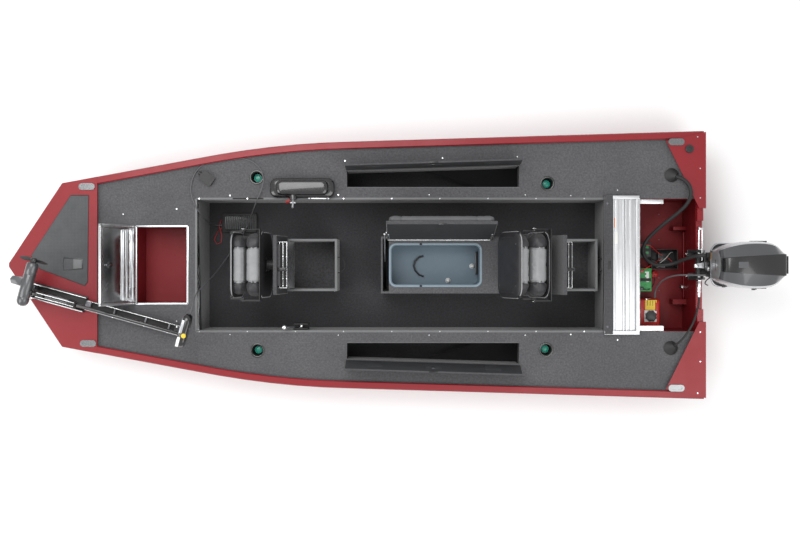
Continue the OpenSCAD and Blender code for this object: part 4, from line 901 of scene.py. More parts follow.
# grooves are (axis, place, depth, width) lines sewn into a pad's face
def makePad(name, body, replaced, outline, low, high, finishOf, cap, grooves, turn, limits,
            soften=0.02):
    data = swell(padShape(outline, low, high, soften), cap)
    mid = (low + high) / 2
    for v in data.vertices:
        push = 0.0
        for axis, place, depth, width in grooves:
            away = abs(v.co[axis] - place) / width
            if away < 1:
                push = max(push, depth * (1 - away * away) ** 2)
        if push:
            v.co.z += -push if v.co.z > mid else push
            inward = Vector((v.co.x - limits[0][0], v.co.y - limits[0][1], 0))
            v.co -= inward.normalized() * push * 0.4
    for v in data.vertices:
        for i in range(3):
            v.co[i] = min(max(v.co[i], limits[1][i]), limits[2][i])
    used = []
    for face in data.polygons:
        finish = finishOf(face.center)
        if finish not in used:
            used.append(finish)
            data.materials.append(finishes[finish])
        face.material_index = used.index(finish)
        face.use_smooth = True
    data.transform(turn)
    pad = bpy.data.objects.new(name, data)
    bpy.context.collection.objects.link(pad)
    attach(pad, body)
    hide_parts(*replaced)
    return pad


seat = {"band": 0.125, "cushion": (0.119, 0.229), "back": (0.253, 0.358), "centre": -0.200}
seatTurns = {"fore": ("Fore", onForeLid), "aft": ("Aft", onAftLid)}
for tag, (word, lid) in seatTurns.items():
    def cushionFinish(at):
        return "seatLight" if abs(at.y) < seat["band"] else "seatDark"

    def backFinish(at):
        if at.z > 0.322 or abs(at.y) > seat["band"] + 0.004:
            return "seatDark"
        return "seatLight"
    makePad("seatCushion" + word, tag + "_seat", ["seat_cushion_" + tag],
            rounded(0.376, 0.476, 0.075, 7, (-0.200, 0)), 0.126, 0.217, cushionFinish, 0.014,
            [(1, -seat["band"], 0.010, 0.016), (1, seat["band"], 0.010, 0.016), (0, -0.262, 0.006, 0.014),
             (0, -0.120, 0.006, 0.014)], lid,
            ((-0.200, 0), (-0.399, -0.249, 0.1195), (-0.001, 0.249, 0.2285)))
    makePad("seatBack" + word, tag + "_back", ["seat_back_" + tag],
            rounded(0.352, 0.452, 0.075, 7, (-0.195, 0)), 0.262, 0.334, backFinish, 0.013,
            [(1, -seat["band"], 0.009, 0.016), (1, seat["band"], 0.009, 0.016), (0, -0.10, 0.006, 0.014)],
            lid, ((-0.195, 0), (-0.384, -0.239, 0.2535), (-0.006, 0.239, 0.3400)))

    # moulded shells with a pale piped rim, arms and pivots
    shell = Shape(lid)
    outline = rounded(0.378, 0.478, 0.080, 9, (-0.195, 0))
    inset = lambda e: [(-0.195 + (x + 0.195) * (1 - e / 0.189), y * (1 - e / 0.239)) for x, y in outline]
    shell.skin([[(x, y, z) for x, y in inset(e)] for e, z in
                ((0.010, 0.3300), (0.0, 0.3300), (0.0, 0.3385), (0.006, 0.3455), (0.020, 0.3515), (0.060,
                        0.3570))],
               "seatShell")
    shell.tube([(x, y, 0.3330) for x, y in outline], 0.0042, "seatPiping", 8, closed=True)
    for y in (-0.20, 0.20):
        shell.block((-0.30, y - 0.006, 0.3535), (-0.08, y + 0.006, 0.3575), "seatShell", 0.002)
    for x in (-0.33, -0.06):
        for y in (-0.15, 0.15):
            shell.screw((x, y, 0.3545), "darkSteel", 0.005)
    shell.block((-0.372, -0.236, 0.3300), (-0.330, -0.222, 0.3440), "fuseBlack", 0.003)
    shell.block((-0.372, 0.222, 0.3300), (-0.330, 0.236, 0.3440), "fuseBlack", 0.003)
    for side in (-1, 1):
        shell.block((-0.408, side * 0.2500, 0.232), (-0.384, side * 0.2390, 0.262), "bracketBlack", 0.003)
        shell.block((-0.402, side * 0.2465, 0.250), (-0.376, side * 0.2395, 0.332), "bracketBlack", 0.002)
        shell.rod((-0.396, side * 0.2500, 0.241), (-0.396, side * 0.2526, 0.241), 0.008, "chrome")
    shell.make("backShell" + word, tag + "_back", "black_plastic", sharp=40)

    pan = Shape(lid)
    panLine = rounded(0.384, 0.470, 0.085, 8, (-0.200, 0))
    panIn = lambda e: [(-0.200 + (x + 0.200) * (1 - e / 0.192), y * (1 - e / 0.235)) for x, y in panLine]
    pan.skin([[(x, y, z) for x, y in panIn(e)] for e, z in
              ((0.050, 0.1112), (0.014, 0.1120), (0.004, 0.1150), (0.0, 0.1188))], "seatShell")
    pan.tube([(x, y, 0.1172) for x, y in panIn(-0.002)], 0.0032, "seatPiping", 8, closed=True)
    pan.lathe([(0, 0), (0.050, 0), (0.050, 0.006), (0.040, 0.010), (0.040, 0.050), (0.075, 0.0555), (0,
            0.0555)],
              (-0.200, 0, 0.0552), (0, 0, 1), "bracketBlack", 32)
    for k in range(4):
        a = math.radians(45 + 90 * k)
        pan.screw((-0.2 + 0.062 * math.cos(a), 0.062 * math.sin(a), 0.1109), "chrome", 0.005, (0, 0, -1))
    pan.block((-0.420, -0.2590, 0.1110), (-0.374, 0.2590, 0.1190), "bracketBlack", 0.003)
    for side in (-1, 1):
        pan.block((-0.412, side * 0.2590, 0.1120), (-0.380, side * 0.2532, 0.2520), "bracketBlack", 0.0025)
        pan.lathe([(0.016, 0), (0.016, 0.002), (0.011, 0.005), (0, 0.005)], (-0.396, side * 0.2588, 0.241),
                  (0, side, 0), "chrome", 20)
    pan.block((-0.330, -0.246, 0.1110), (-0.306, -0.232, 0.1230), "fuseBlack", 0.003)
    pan.make("seatPan" + word, tag + "_seat", "black_plastic", ["seat_pan_" + tag], sharp=40)
print("seats done")

# livewell lid: long soft pad, hinge strip and edging
makePad("livewellPad", "livewell_cover", ["livewell_pad"],
        rounded(0.780, 0.380, 0.030, 5, (-0.624, 0.210)), 0.0275, 0.0640, lambda at: "seatGrey", 0.010,
        [(0, -0.33, 0.004, 0.012), (0, -0.88, 0.004, 0.012)], onWellLid,
        ((-0.624, 0.210), (-1.0225, 0.0125, 0.0245), (-0.2255, 0.4075, 0.0718)), soften=0.012)
wellLid = Shape(onWellLid)
wellLid.block((-1.026, 0.0, 0.0), (-0.222, 0.408, 0.024), "lidCarpet", 0.005)
wellLid.block((-1.020, 0.006, -0.0006), (-0.228, 0.402, 0.0004), "lidDark", 0.0)
wellLid.block((-0.965, -0.003, 0.0035), (-0.270, 0.0005, 0.0225), "ribMetal", 0.0008)
wellLid.tube([(-1.004, 0, 0), (-0.244, 0, 0)], 0.0052, "brushedMetal", 14)
for k in range(14):
    at = -0.972 + k * 0.0560
    wellLid.tube([(at - 0.013, 0, 0), (at + 0.013, 0, 0)], 0.0062, "brushedMetal", 14)
    wellLid.screw((at, -0.0032, 0.0140), "chrome", 0.0030, (0, -1, 0))
for x in (-1.010, -0.237):
    wellLid.block((x - 0.006, 0.020, -0.003), (x + 0.006, 0.150, 0.0005), "brushedMetal", 0.001)
wellLid.lathe([(0, 0), (0.011, 0), (0.011, 0.004), (0.006, 0.008), (0, 0.008)], (-0.2215, 0.150, 0.012),
              (1, 0, 0), "chrome", 20)
wellLid.block((-0.66, 0.396, -0.006), (-0.60, 0.4085, 0.006), "fuseBlack", 0.002)
wellLid.make("livewellLidDetail", "livewell_cover", "lid_carpet", ["livewell_lid"])
print("livewell lid done")

# foredeck: a grey tread pad with a dark rim and a small recessed plate
padLine = [(2.133, -0.522), (1.999, -0.522), (2.006, 0.127), (2.028, 0.157), (2.364, 0.030), (2.431,
        -0.067)]
foredeck = Shape()
foredeck.plate(padLine, 0.4021, 0.4062, "softRubber", 0.0012)
middle = (2.16, -0.16)
foredeck.plate([(middle[0] + (x - middle[0]) * 0.985, middle[1] + (y - middle[1]) * 0.985)
                for x, y in padLine], 0.4050, 0.4072, "gripGrey", 0.0008)
plateLine = [(2.176, -0.048), (2.182, -0.007), (2.176, 0.034), (2.049, 0.024), (2.049, -0.038)]
foredeck.plate([(2.114 + (x - 2.114) * 1.14, -0.007 + (y + 0.007) * 1.24) for x, y in plateLine],
               0.4060, 0.4095, "fuseBlack", 0.001)
foredeck.plate(plateLine, 0.4080, 0.4120, "trimGrey", 0.0015)
foredeck.plate([(x + 0.004, y) for x, y in plateLine[:1] + plateLine[1:3]] + [(2.112, 0.029), (2.112,
        -0.043)],
               0.4100, 0.4126, "gripGrey", 0.0005)
foredeck.make("foredeckPad", "boat", "deck_carpet")

# bow hatch lid, seen from its bright underside: frame, skin, stiffeners, latch
bowLid = Shape(onBowLid)
for low, high in (((-0.398, -0.296, -0.0110), (-0.374, 0.296, 0.0110)), ((-0.024, -0.296, -0.0110),
        (-0.006, 0.296, 0.0110)),
                  ((-0.398, -0.296, -0.0110), (-0.006, -0.272, 0.0110)), ((-0.398, 0.272, -0.0110),
                          (-0.006, 0.296, 0.0110))):
    bowLid.block(low, high, "brushedMetal", 0.003)
bowLid.block((-0.396, -0.294, 0.0075), (-0.004, 0.294, 0.0118), "lidCarpet", 0.002)
bowLid.block((-0.390, -0.288, 0.0040), (-0.010, 0.288, 0.0080), "mirrorMetal", 0.001)
for x in (-0.130, -0.085):
    bowLid.block((x - 0.008, -0.262, -0.0090), (x + 0.008, 0.262, 0.0045), "brushedMetal", 0.002)
    for y in (-0.25, -0.09, 0.09, 0.25):
        bowLid.screw((x, y, -0.0092), "chrome", 0.004, (0, 0, -1))
bowLid.lathe([(0, 0), (0.026, 0), (0.026, 0.006), (0.020, 0.012), (0.008, 0.013), (0, 0.013)],
             (-0.285, 0.0, 0.0045), (0, 0, -1), "fuseBlack", 28)
bowLid.block((-0.330, -0.005, -0.0085), (-0.255, 0.005, -0.0045), "chrome", 0.001)
for y in (-0.20, 0.0, 0.20):
    bowLid.tube([(0, y - 0.035, 0), (0, y + 0.035, 0)], 0.0058, "chrome", 14)
    bowLid.block((-0.028, y - 0.030, -0.0105), (-0.004, y + 0.030, -0.0035), "brushedMetal", 0.001)
bowLid.tube([(0, -0.285, 0), (0, 0.285, 0)], 0.0045, "brushedMetal", 12)
bowLid.make("bowLidDetail", "bow_hatch", "bare_aluminium", ["bow_hatch_lid"], sharp=40)

# trolling motor: deck mount with bright-edged rails
mount = Shape(onMount)
for side in (-1, 1):
    mount.plate([(-0.400, side * 0.045), (0.034, side * 0.045), (0.034, side * 0.053), (-0.400,
            side * 0.053)],
                -0.0470, 0.0130, "bracketBlack", 0.001)
    mount.block((-1.118, side * 0.036, -0.0400), (-0.400, side * 0.027, -0.0160), "bracketBlack", 0.001)
    mount.block((-1.118, side * 0.0362, -0.0175), (-0.402, side * 0.0325, -0.0142), "chrome", 0.0006)
    mount.block((-0.398, side * 0.0542, 0.0105), (0.020, side * 0.0490, 0.0142), "brushedMetal", 0.0006)
    for x in (-0.36, -0.25, -0.14):
        mount.screw((x, side * 0.0542, -0.012), "chrome", 0.005, (0, side, 0))
    mount.lathe([(0.015, 0), (0.015, 0.002), (0.009, 0.006), (0, 0.006)], (0, side * 0.0542, 0), (0, side,
            0), "chrome", 20)
mount.rod((0, -0.054, 0), (0, 0.054, 0), 0.008, "darkSteel")
mount.block((-0.400, -0.060, -0.0474), (0.034, 0.060, -0.0385), "bracketBlack", 0.002)
mount.block((-0.440, -0.036, -0.0474), (-0.398, 0.036, -0.0145), "darkSteel", 0.003)
mount.block((-1.118, -0.027, -0.0395), (-0.440, 0.027, -0.0345), "shadowGap", 0.001)
for x in (-0.62, -0.86, -1.04):
    mount.block((x - 0.006, -0.030, -0.0345), (x + 0.006, 0.030, -0.0155), "darkSteel", 0.002)
    mount.screw((x, 0.0345, -0.0142), "chrome", 0.005)
mount.block((-1.148, -0.038, -0.0742), (-1.082, 0.038, -0.0150), "bracketBlack", 0.004)
mount.block((-1.146, -0.040, -0.0180), (-1.128, 0.040, -0.0142), "brushedMetal", 0.001)
for y in (-0.024, 0.024):
    mount.screw((-1.098, y, -0.0148), "chrome", 0.006)
mount.make("trollMountDetail", "boat", "bracket_black", ["troll_mount"])

high = 0.160
arm = Shape(onMount)
for y in (-0.0195, 0.0115):
    arm.plate([(0.008, -0.010), (0.008, 0.010), (-0.078, 0.058), (-0.080, high - 0.028), (-0.380,
            high - 0.028),
               (-0.380, high - 0.058), (-0.112, 0.030)], y, y + 0.008, "bracketBlack", 0.001,
              turn=Matrix.Rotation(math.pi / 2, 4, "X") @ Matrix.Scale(-1, 4, (0, 0, 1)))
arm.rod((0, -0.0398, 0), (0, 0.0398, 0), 0.0165, "darkSteel", 24)
for x in (-0.140, -0.380):
    arm.lathe([(0.0150, 0), (0.0280, 0), (0.0318, 0.004), (0.0318, 0.020), (0.0285, 0.023), (0.0285, 0.037),
               (0.0318, 0.040), (0.0318, 0.056), (0.0280, 0.060), (0.0150, 0.060)], (x, 0, high), (1, 0, 0),
              "bracketBlack", 32)
    arm.screw((x + 0.030, 0.0300, high), "chrome", 0.006, (0, 1, 0))
arm.block((-0.320, -0.018, high - 0.050), (-0.140, 0.018, high - 0.026), "darkSteel", 0.004)
# two bright strips above the shaft between the collars: painted highlights along its top
for y in (-0.0140, 0.0140):
    arm.block((-0.372, y - 0.0022, high + 0.0260), (-0.090, y + 0.0022, high + 0.0295), "brushedMetal",
              0.0008)
arm.make("trollArmDetail", "troll_swing", "bare_aluminium", ["troll_arm"])

# control head: silver wedge, pale foot, dark body, yellow button
head = Shape(onMount)
head.rod((-1.150, 0, high), (-0.0530, 0, high), 0.0128, "glossBlack", 28, 0.001)
body = [(0, 0.62), (0.10, 0.92), (0.30, 1.0), (0.72, 1.0), (0.92, 0.90), (1.0, 0.62)]
rings = []
for t, grow in body:
    rings.append([(-1.222 + 0.060 * t, -0.033 + p[0] * grow, high + 0.002 + p[1] * grow)
                  for p in rounded(0.250, 0.118, 0.050, 6)])
head.skin(rings, "glossBlack")
head.skin([[(-1.168 + 0.012 * t, -0.060 + p[0] * g, high + 0.004 + p[1] * g) for p in rounded(0.150, 0.092,
        0.036, 5)]
           for t, g in ((0, 1.0), (0.5, 0.95), (0.9, 0.6))], "engineSilver")
head.skin([[(-1.168 + 0.012 * t, 0.052 + p[0] * g, high + 0.004 + p[1] * g) for p in rounded(0.070, 0.092,
        0.028, 5)]
           for t, g in ((0, 1.0), (0.5, 0.95), (0.9, 0.6))], "whitePlate")
head.block((-1.186, -0.110, high + 0.0565), (-1.164, -0.012, high + 0.0625), "engineSilver", 0.003)
head.block((-1.186, 0.016, high + 0.0565), (-1.164, 0.088, high + 0.0625), "whitePlate", 0.003)
head.lathe([(0.018, 0), (0.018, 0.0030), (0.014, 0.0062), (0.006, 0.0078), (0, 0.0078)], (-1.203, 0.000,
        high + 0.0568),
           (0, 0, 1), "yellowPlate", 28)
head.lathe([(0.013, 0), (0.016, 0.006), (0.013, 0.014), (0.0128, 0.014), (0.0128, 0)], (-1.170, 0, high),
           (1, 0, 0),
           "chrome", 24)
head.make("trollHead", "troll_turn", "black_plastic", ["troll_shaft"], sharp=40)

pod = Shape(onMount)
pod.lathe([(0, -0.214), (0.034, -0.214), (0.041, -0.206), (0.0435, -0.190), (0.0435, -0.132), (0.0420,
        -0.129),
           (0.0420, -0.124), (0.0438, -0.121), (0.0438, 0.040), (0.0424, 0.043), (0.0424, 0.047), (0.0438,
                   0.050),
           (0.0430, 0.070), (0.040, 0.086), (0.033, 0.099), (0.021, 0.108), (0.008, 0.1115), (0, 0.1118)],
          (0, 0, high), (0, 1, 0), "engineGrey", 44)
pod.rod((-0.0512, 0, high), (-0.0330, 0, high), 0.0195, "bracketBlack", 28)
pod.plate([(0.0400, -0.095), (0.118, -0.086), (0.131, -0.060), (0.118, -0.030), (0.040, -0.027)],
          high - 0.0022,
          high + 0.0022, "engineGrey", 0.001)
for a in range(4):
    at = math.radians(45 + 90 * a)
    pod.screw((0.032 * math.cos(at), 0.092, high + 0.032 * math.sin(at)), "chrome", 0.0035, (0, 1, 0))
pod.make("trollPodDetail", "troll_turn", "engine_paint", ["troll_pod"], sharp=40)


# a blade whose pitch eases towards the tip; bands of points from hub to tip
def blade(shape, hub, reach, chord, pitch, thick, finish, turn):
    rings = []
    for i in range(9):
        t = i / 8
        r = hub + (reach - hub) * t
        width = chord * (0.55 + 1.25 * t - 1.45 * t ** 3) * (1.0 if i < 8 else 0.55)
        angle = math.radians(pitch[0] + (pitch[1] - pitch[0]) * t)
        ring = []
        for k in range(16):
            a = k * math.tau / 16
            u, w = width / 2 * math.cos(a), thick * (1.15 - 0.7 * t) * math.sin(a)
            ring.append((u * math.cos(angle) - w * math.sin(angle), r,
                         u * math.sin(angle) + w * math.cos(angle)))
        rings.append(ring)
    shape.skin(rings, finish, turn=turn)


troll = Shape(onMount @ turned((0, -0.233, high), 90, "X"))
troll.lathe([(0.006, -0.017), (0.022, -0.017), (0.0240, -0.012), (0.0240, 0.008), (0.018, 0.0150), (0.007,
        0.0168), (0, 0.0168)],
            (0, 0, 0), (0, 0, 1), "fuseBlack", 28)
for side in (0, 180):
    blade(troll, 0.020, 0.104, 0.062, (34, 18), 0.0022, "blackPlastic",
          Matrix.Rotation(math.radians(side + 90), 4, "Z"))
troll.make("trollBlades", "troll_blades", "black_plastic", ["troll_propeller"], sharp=50)
print("bow and trolling motor done")

# racks under the open seat lids, pale rims on the seat boxes
for tag, lid, length, box in (("fore", onForeLid, 0.381, (0.153, 0.528)), ("aft", onAftLid, 0.439, (-1.815,
        -1.370))):
    rack = Shape(lid)
    rack.block((-length + 0.004, -0.211, -0.0006), (-0.006, 0.211, 0.0006), "lidDark", 0.0)
    for z in (-0.012, -0.038, -0.066):
        rack.block((-length + 0.046, -0.168, z - 0.0015), (-0.060, 0.168, z + 0.0015), "brushedMetal",
                   0.0006)
        for y in (-0.15, -0.06, 0.10, 0.15):
            rack.block((-length + 0.044, y - 0.004, z - 0.003), (-length + 0.052, y + 0.004, z + 0.003),
                       "chrome", 0.001)
    for y in (-0.168, 0.164):
        rack.block((-length + 0.050, y, -0.068), (-0.062, y + 0.004, 0.0), "bareMetal", 0.0008)
    rack.block((-length + 0.060, -0.160, -0.064), (-length + 0.075, 0.160, -0.014), "shadowGap", 0.001)
    rack.block((-length + 0.0290, 0.020, -0.058), (-length + 0.0315, 0.044, -0.0010), "fuseBlack", 0.0006)
    rack.tube([(-length + 0.0302 + 0.004 * math.sin(a), 0.032 + 0.011 * math.cos(a),
                -0.066 + 0.011 * math.sin(a))
               for a in [k * math.tau / 20 for k in range(20)]], 0.0022, "darkSteel", 8, closed=True)
    rack.make("lidRack" + tag.title(), tag + "_lid", "bare_aluminium")
    rim = Shape()
    low, high = box
    for a, b in (((low, -0.197), (high, -0.180)), ((low, 0.180), (high, 0.197)), ((low, -0.180),
            (low + 0.017, 0.180)),
                 ((high - 0.017, -0.180), (high, 0.180))):
        rim.block((*a, 0.3000), (*b, 0.3012), "trimGrey", 0.0004)
    for x in (low + 0.02, high - 0.03):
        for y in (-0.1975, 0.1975):
            rim.screw((x, y, 0.262), "chrome", 0.005, (0, 1 if y > 0 else -1, 0))
    rim.tube([(low - 0.001 - 0.055 * math.sin(a), 0.060 * math.cos(a), 0.262) for a in
              [k * math.pi / 12 for k in range(13)]], 0.0032, "softRubber", 8)
    rim.make("boxRim" + tag.title(), "boat", "deck_carpet")

# side console: glossy crowned housing, throttle, lanyard, tube and the stick's base
side = Shape()
crown = [(0.480, 0.146, 0.050, 0.3752), (0.480, 0.146, 0.050, 0.4180), (0.474, 0.140, 0.048, 0.4290),
         (0.458, 0.126, 0.044, 0.4370), (0.392, 0.112, 0.042, 0.4420), (0.384, 0.108, 0.040, 0.4540),
         (0.366, 0.092, 0.034, 0.4630), (0.330, 0.062, 0.024, 0.4672)]
side.skin([[(x, y, z) for x, y in rounded(w, d, r, 8, (0.405, -0.574))] for w, d, r, z in crown],
          "glossBlack")
side.lathe([(0.030, 0), (0.030, 0.026), (0.026, 0.036), (0.012, 0.0398), (0, 0.0400)], (0.473, -0.492,
        0.425),
           (0, -1, 0), "glossBlack", 28)
side.lathe([(0.026, 0), (0.026, 0.006), (0.018, 0.010), (0, 0.010)], (0.473, -0.492, 0.425), (0, 1, 0),
           "darkSteel", 28)
side.tube([(0.473, -0.486, 0.431), (0.473, -0.455, 0.448), (0.473, -0.424, 0.464)], [0.0075, 0.0072,
        0.0085],
          "engineSilver", 14)
side.block((0.452, -0.468, 0.438), (0.494, -0.456, 0.448), "engineSilver", 0.004)
side.tube([(0.500, -0.490, 0.400), (0.520, -0.478, 0.398), (0.532, -0.472, 0.392), (0.528, -0.466, 0.376),
           (0.512, -0.470, 0.362), (0.500, -0.480, 0.380)], 0.0035, "signalRed", 8)
side.rod((0.361, -0.4955, 0.406), (0.205, -0.4955, 0.406), 0.0070, "chrome", 18)
for x in (0.345, 0.222):
    side.block((x - 0.006, -0.503, 0.396), (x + 0.006, -0.4885, 0.414), "darkSteel", 0.002)
side.block((0.370, 0.4390, 0.210), (0.480, 0.4495, 0.330), "blackPlastic", 0.004)
side.block((0.370, 0.4745, 0.210), (0.480, 0.4887, 0.330), "blackPlastic", 0.004)
side.block((0.370, 0.4390, 0.210), (0.480, 0.4887, 0.239), "blackPlastic", 0.004)
for x in (0.30, 0.405, 0.51):
    side.screw((x, -0.6435, 0.4180), "darkSteel", 0.004, (0, -1, 0))
side.make("consoleHousing", "boat", "console_gloss", ["control_console"], sharp=45)

# foot pedal with ribs, a pale connector and a loop of red wire
foot = Shape()
foot.plate(rounded(0.275, 0.150, 0.020, 5, (0.940, -0.332)), -0.0398, -0.0185, "blackPlastic", 0.003)
top = Matrix.Translation((0.940, -0.332, -0.0180)) @ Matrix.Rotation(math.radians(-11), 4, "Y")
for k in range(13):
    foot.block((-0.108 + k * 0.017, -0.053, 0.020), (-0.100 + k * 0.017, 0.053, 0.0262), "gripGrey", 0.002,
               turn=top)
foot.plate(rounded(0.226, 0.110, 0.016, 5), 0.004, 0.0215, "fuseBlack", 0.003, turn=top)
foot.block((1.062, -0.325, -0.034), (1.078, -0.298, -0.020), "whitePlate", 0.002)
foot.tube([(1.070, -0.300, -0.028), (1.112, -0.262, -0.034), (1.140, -0.200, -0.035), (1.118, -0.165,
        -0.035),
           (1.085, -0.178, -0.035), (1.080, -0.230, -0.035), (1.098, -0.300, -0.033), (1.090, -0.352,
                   -0.034),
           (1.060, -0.360, -0.030)], 0.0024, "signalRed", 8)
foot.make("footPedalDetail", "boat", "black_plastic", ["foot_pedal"], sharp=40)

# cup holders, basin fittings and rim
cupHolder = {"places": ((0.751, -0.656), (0.745, 0.639), (-1.425, -0.611), (-1.415, 0.634)),
             "ringRadius": 0.0480, "ringHeight": 0.3786, "ringThick": 0.0056}
cups = Shape()
for x, y in cupHolder["places"]:
    turns = [k * math.tau / 36 for k in range(36)]
    reach = cupHolder["ringRadius"]
    rim = [(x + reach * math.cos(a), y + reach * math.sin(a), cupHolder["ringHeight"]) for a in turns]
    cups.tube(rim, cupHolder["ringThick"], "glossBlack", 10, closed=True, flat=0.45)
    cups.lathe([(0, 0.2942), (0.0405, 0.2942), (0.0405, 0.2990), (0.0330, 0.3010), (0.0300, 0.3040), (0,
            0.3045)],
               (x, y, 0), (0, 0, 1), "glossBlack", 32)
    cups.lathe([(0, 0.3040), (0.0285, 0.3040), (0.0285, 0.3070), (0.0240, 0.3095), (0, 0.3100)], (x, y, 0),
               (0, 0, 1),
               "tealGlow", 28)
cups.make("cupTrim", "boat", "black_plastic")

basin = Shape()
basin.tube([(x, y, 0.2812) for x, y in rounded(0.690, 0.318, 0.048, 8, (-0.591, 0))], 0.0050, "basinRim",
           10, closed=True)
for x in (-0.480,):
    for y in (-0.158, 0.158):
        basin.block((x - 0.010, y - 0.007, 0.281), (x + 0.010, y + 0.007, 0.2870), "shadowGap", 0.002)
basin.tube([(-0.505, -0.070, 0.044), (-0.470, -0.060, 0.050), (-0.440, -0.030, 0.056), (-0.430, 0.005,
        0.058),
            (-0.440, 0.040, 0.056), (-0.470, 0.075, 0.050), (-0.505, 0.088, 0.044)], 0.007, "blackPlastic",
            12)
for x, y in ((-0.696, 0.120), (-0.883, 0.008)):
    basin.lathe([(0.020, 0), (0.020, 0.006), (0.014, 0.012), (0.010, 0.024), (0, 0.024)], (x, y, 0.0372),
                (0, 0, 1),
                "whitePlate", 24)
basin.block((-0.922, -0.105, 0.060), (-0.908, 0.075, 0.130), "shadowGap", 0.004)
for z in (0.075, 0.095, 0.115):
    basin.block((-0.910, -0.095, z), (-0.905, 0.065, z + 0.006), "trimGrey", 0.001)
basin.make("basinFittings", "boat", "tub_plastic")

# pale edging round the cockpit, hatch and lockers, and a dark strip beside the pedal painted as the shade
# in a slot
edge = Shape()
for y in (-0.497, 0.497):
    edge.block((-1.862, y - 0.008, 0.3742), (1.204, y + 0.008, 0.3775), "trimGrey", 0.0015)
for x in (-1.862, 1.204):
    edge.block((x - 0.008, -0.497, 0.3742), (x + 0.008, 0.497, 0.3775), "trimGrey", 0.0015)
for x in (1.268, 1.654):
    edge.block((x - 0.006, -0.290, 0.3745), (x + 0.006, 0.290, 0.3758), "brushedMetal", 0.0005)
for y in (-0.290, 0.290):
    edge.block((1.268, y - 0.006, 0.3745), (1.654, y + 0.006, 0.3758), "brushedMetal", 0.0005)
for flip in (-1, 1):
    edge.tube([(0.075, flip * 0.580, 0.3734), (-1.215, flip * 0.580, 0.3734)], 0.0036, "trimGrey", 8,
              flat=0.5)
edge.block((0.700, -0.503, 0.3768), (0.930, -0.492, 0.3782), "shadowGap", 0.0004)
edge.make("cockpitEdging", "boat", "deck_carpet")

# near-black outer walls that line the rod lockers: their darkness is painted shade inside the deep lockers
walls = Shape()
for flip in (-1, 1):
    walls.skin([[(x, flip * (y + e), z) for e, z in ((0.0, 0.3590), (0.004, 0.3590), (0.004, 0.1000), (0.0,
            0.1000))]
                for x, y in ((0.075, 0.7075), (-1.215, 0.7475))], "lockerLinerShade")
walls.make("lockerWalls", "boat", "locker_liner")

# rod lids: sheet metal backs, edge trims and latches
for name, lid, body in (("Port", onPortRodLid, "port_rod_lid"),
                        ("Starboard", onStarboardRodLid @ Matrix.Scale(-1, 4, (0, 1, 0)),
                         "starboard_rod_lid")):
    rods = Shape(lid)
    rods.block((-1.308, -0.166, -0.0055), (-0.006, -0.006, -0.0046), "lidDark", 0.0003)
    rods.block((-1.313, -0.1718, -0.0052), (-0.001, -0.1670, 0.0052), "trimGrey", 0.001)
    for x in (-1.10, -0.66, -0.22):
        rods.block((x - 0.06, -0.115, -0.0085), (x + 0.06, -0.020, -0.0050), "lidDark", 0.001)
    rods.block((-0.690, -0.1735, -0.0055), (-0.624, -0.1560, 0.0060), "fuseBlack", 0.001)
    rods.lathe([(0.016, 0), (0.016, 0.003), (0.010, 0.005), (0, 0.005)], (-0.657, -0.105, -0.0050), (0, 0,
            -1), "chrome", 20)
    rods.make("rodLid" + name, body, "lid_carpet")

# screws: one small head set on every listed point
def scatter(name, body, points, radius, finish):
    data = bpy.data.meshes.new(name)
    data.from_pydata([tuple(p) for p in points], [], [])
    holder = bpy.data.objects.new(name + "Points", data)
    bpy.context.collection.objects.link(holder)
    tree = bpy.data.node_groups.new(name, "GeometryNodeTree")
    tree.interface.new_socket("Geometry", in_out="INPUT", socket_type="NodeSocketGeometry")
    size = tree.interface.new_socket("Radius", in_out="INPUT", socket_type="NodeSocketFloat")
    tree.interface.new_socket("Geometry", in_out="OUTPUT", socket_type="NodeSocketGeometry")
    start, stop = tree.nodes.new("NodeGroupInput"), tree.nodes.new("NodeGroupOutput")
    dots = tree.nodes.new("GeometryNodeMeshToPoints")
    head = tree.nodes.new("GeometryNodeMeshCylinder")
    head.inputs["Vertices"].default_value = 10
    head.inputs["Depth"].default_value = 0.0024
    seat = tree.nodes.new("GeometryNodeInstanceOnPoints")
    solid = tree.nodes.new("GeometryNodeRealizeInstances")
    coat = tree.nodes.new("GeometryNodeSetMaterial")
    coat.inputs["Material"].default_value = finishes[finish]
    tree.links.new(start.outputs[0], dots.inputs["Mesh"])
    tree.links.new(start.outputs[1], head.inputs["Radius"])
    tree.links.new(dots.outputs[0], seat.inputs["Points"])
    tree.links.new(head.outputs["Mesh"], seat.inputs["Instance"])
    tree.links.new(seat.outputs[0], solid.inputs[0])
    tree.links.new(solid.outputs[0], coat.inputs["Geometry"])
    tree.links.new(coat.outputs[0], stop.inputs[0])
    spread = holder.modifiers.new("spread", "NODES")
    spread.node_group = tree
    spread[size.identifier] = radius
    graph = bpy.context.evaluated_depsgraph_get()
    made = bpy.data.meshes.new_from_object(holder.evaluated_get(graph))
    holder.modifiers.clear()
    bpy.data.objects.remove(holder)
    piece = bpy.data.objects.new(name, made)
    bpy.context.collection.objects.link(piece)
    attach(piece, body)


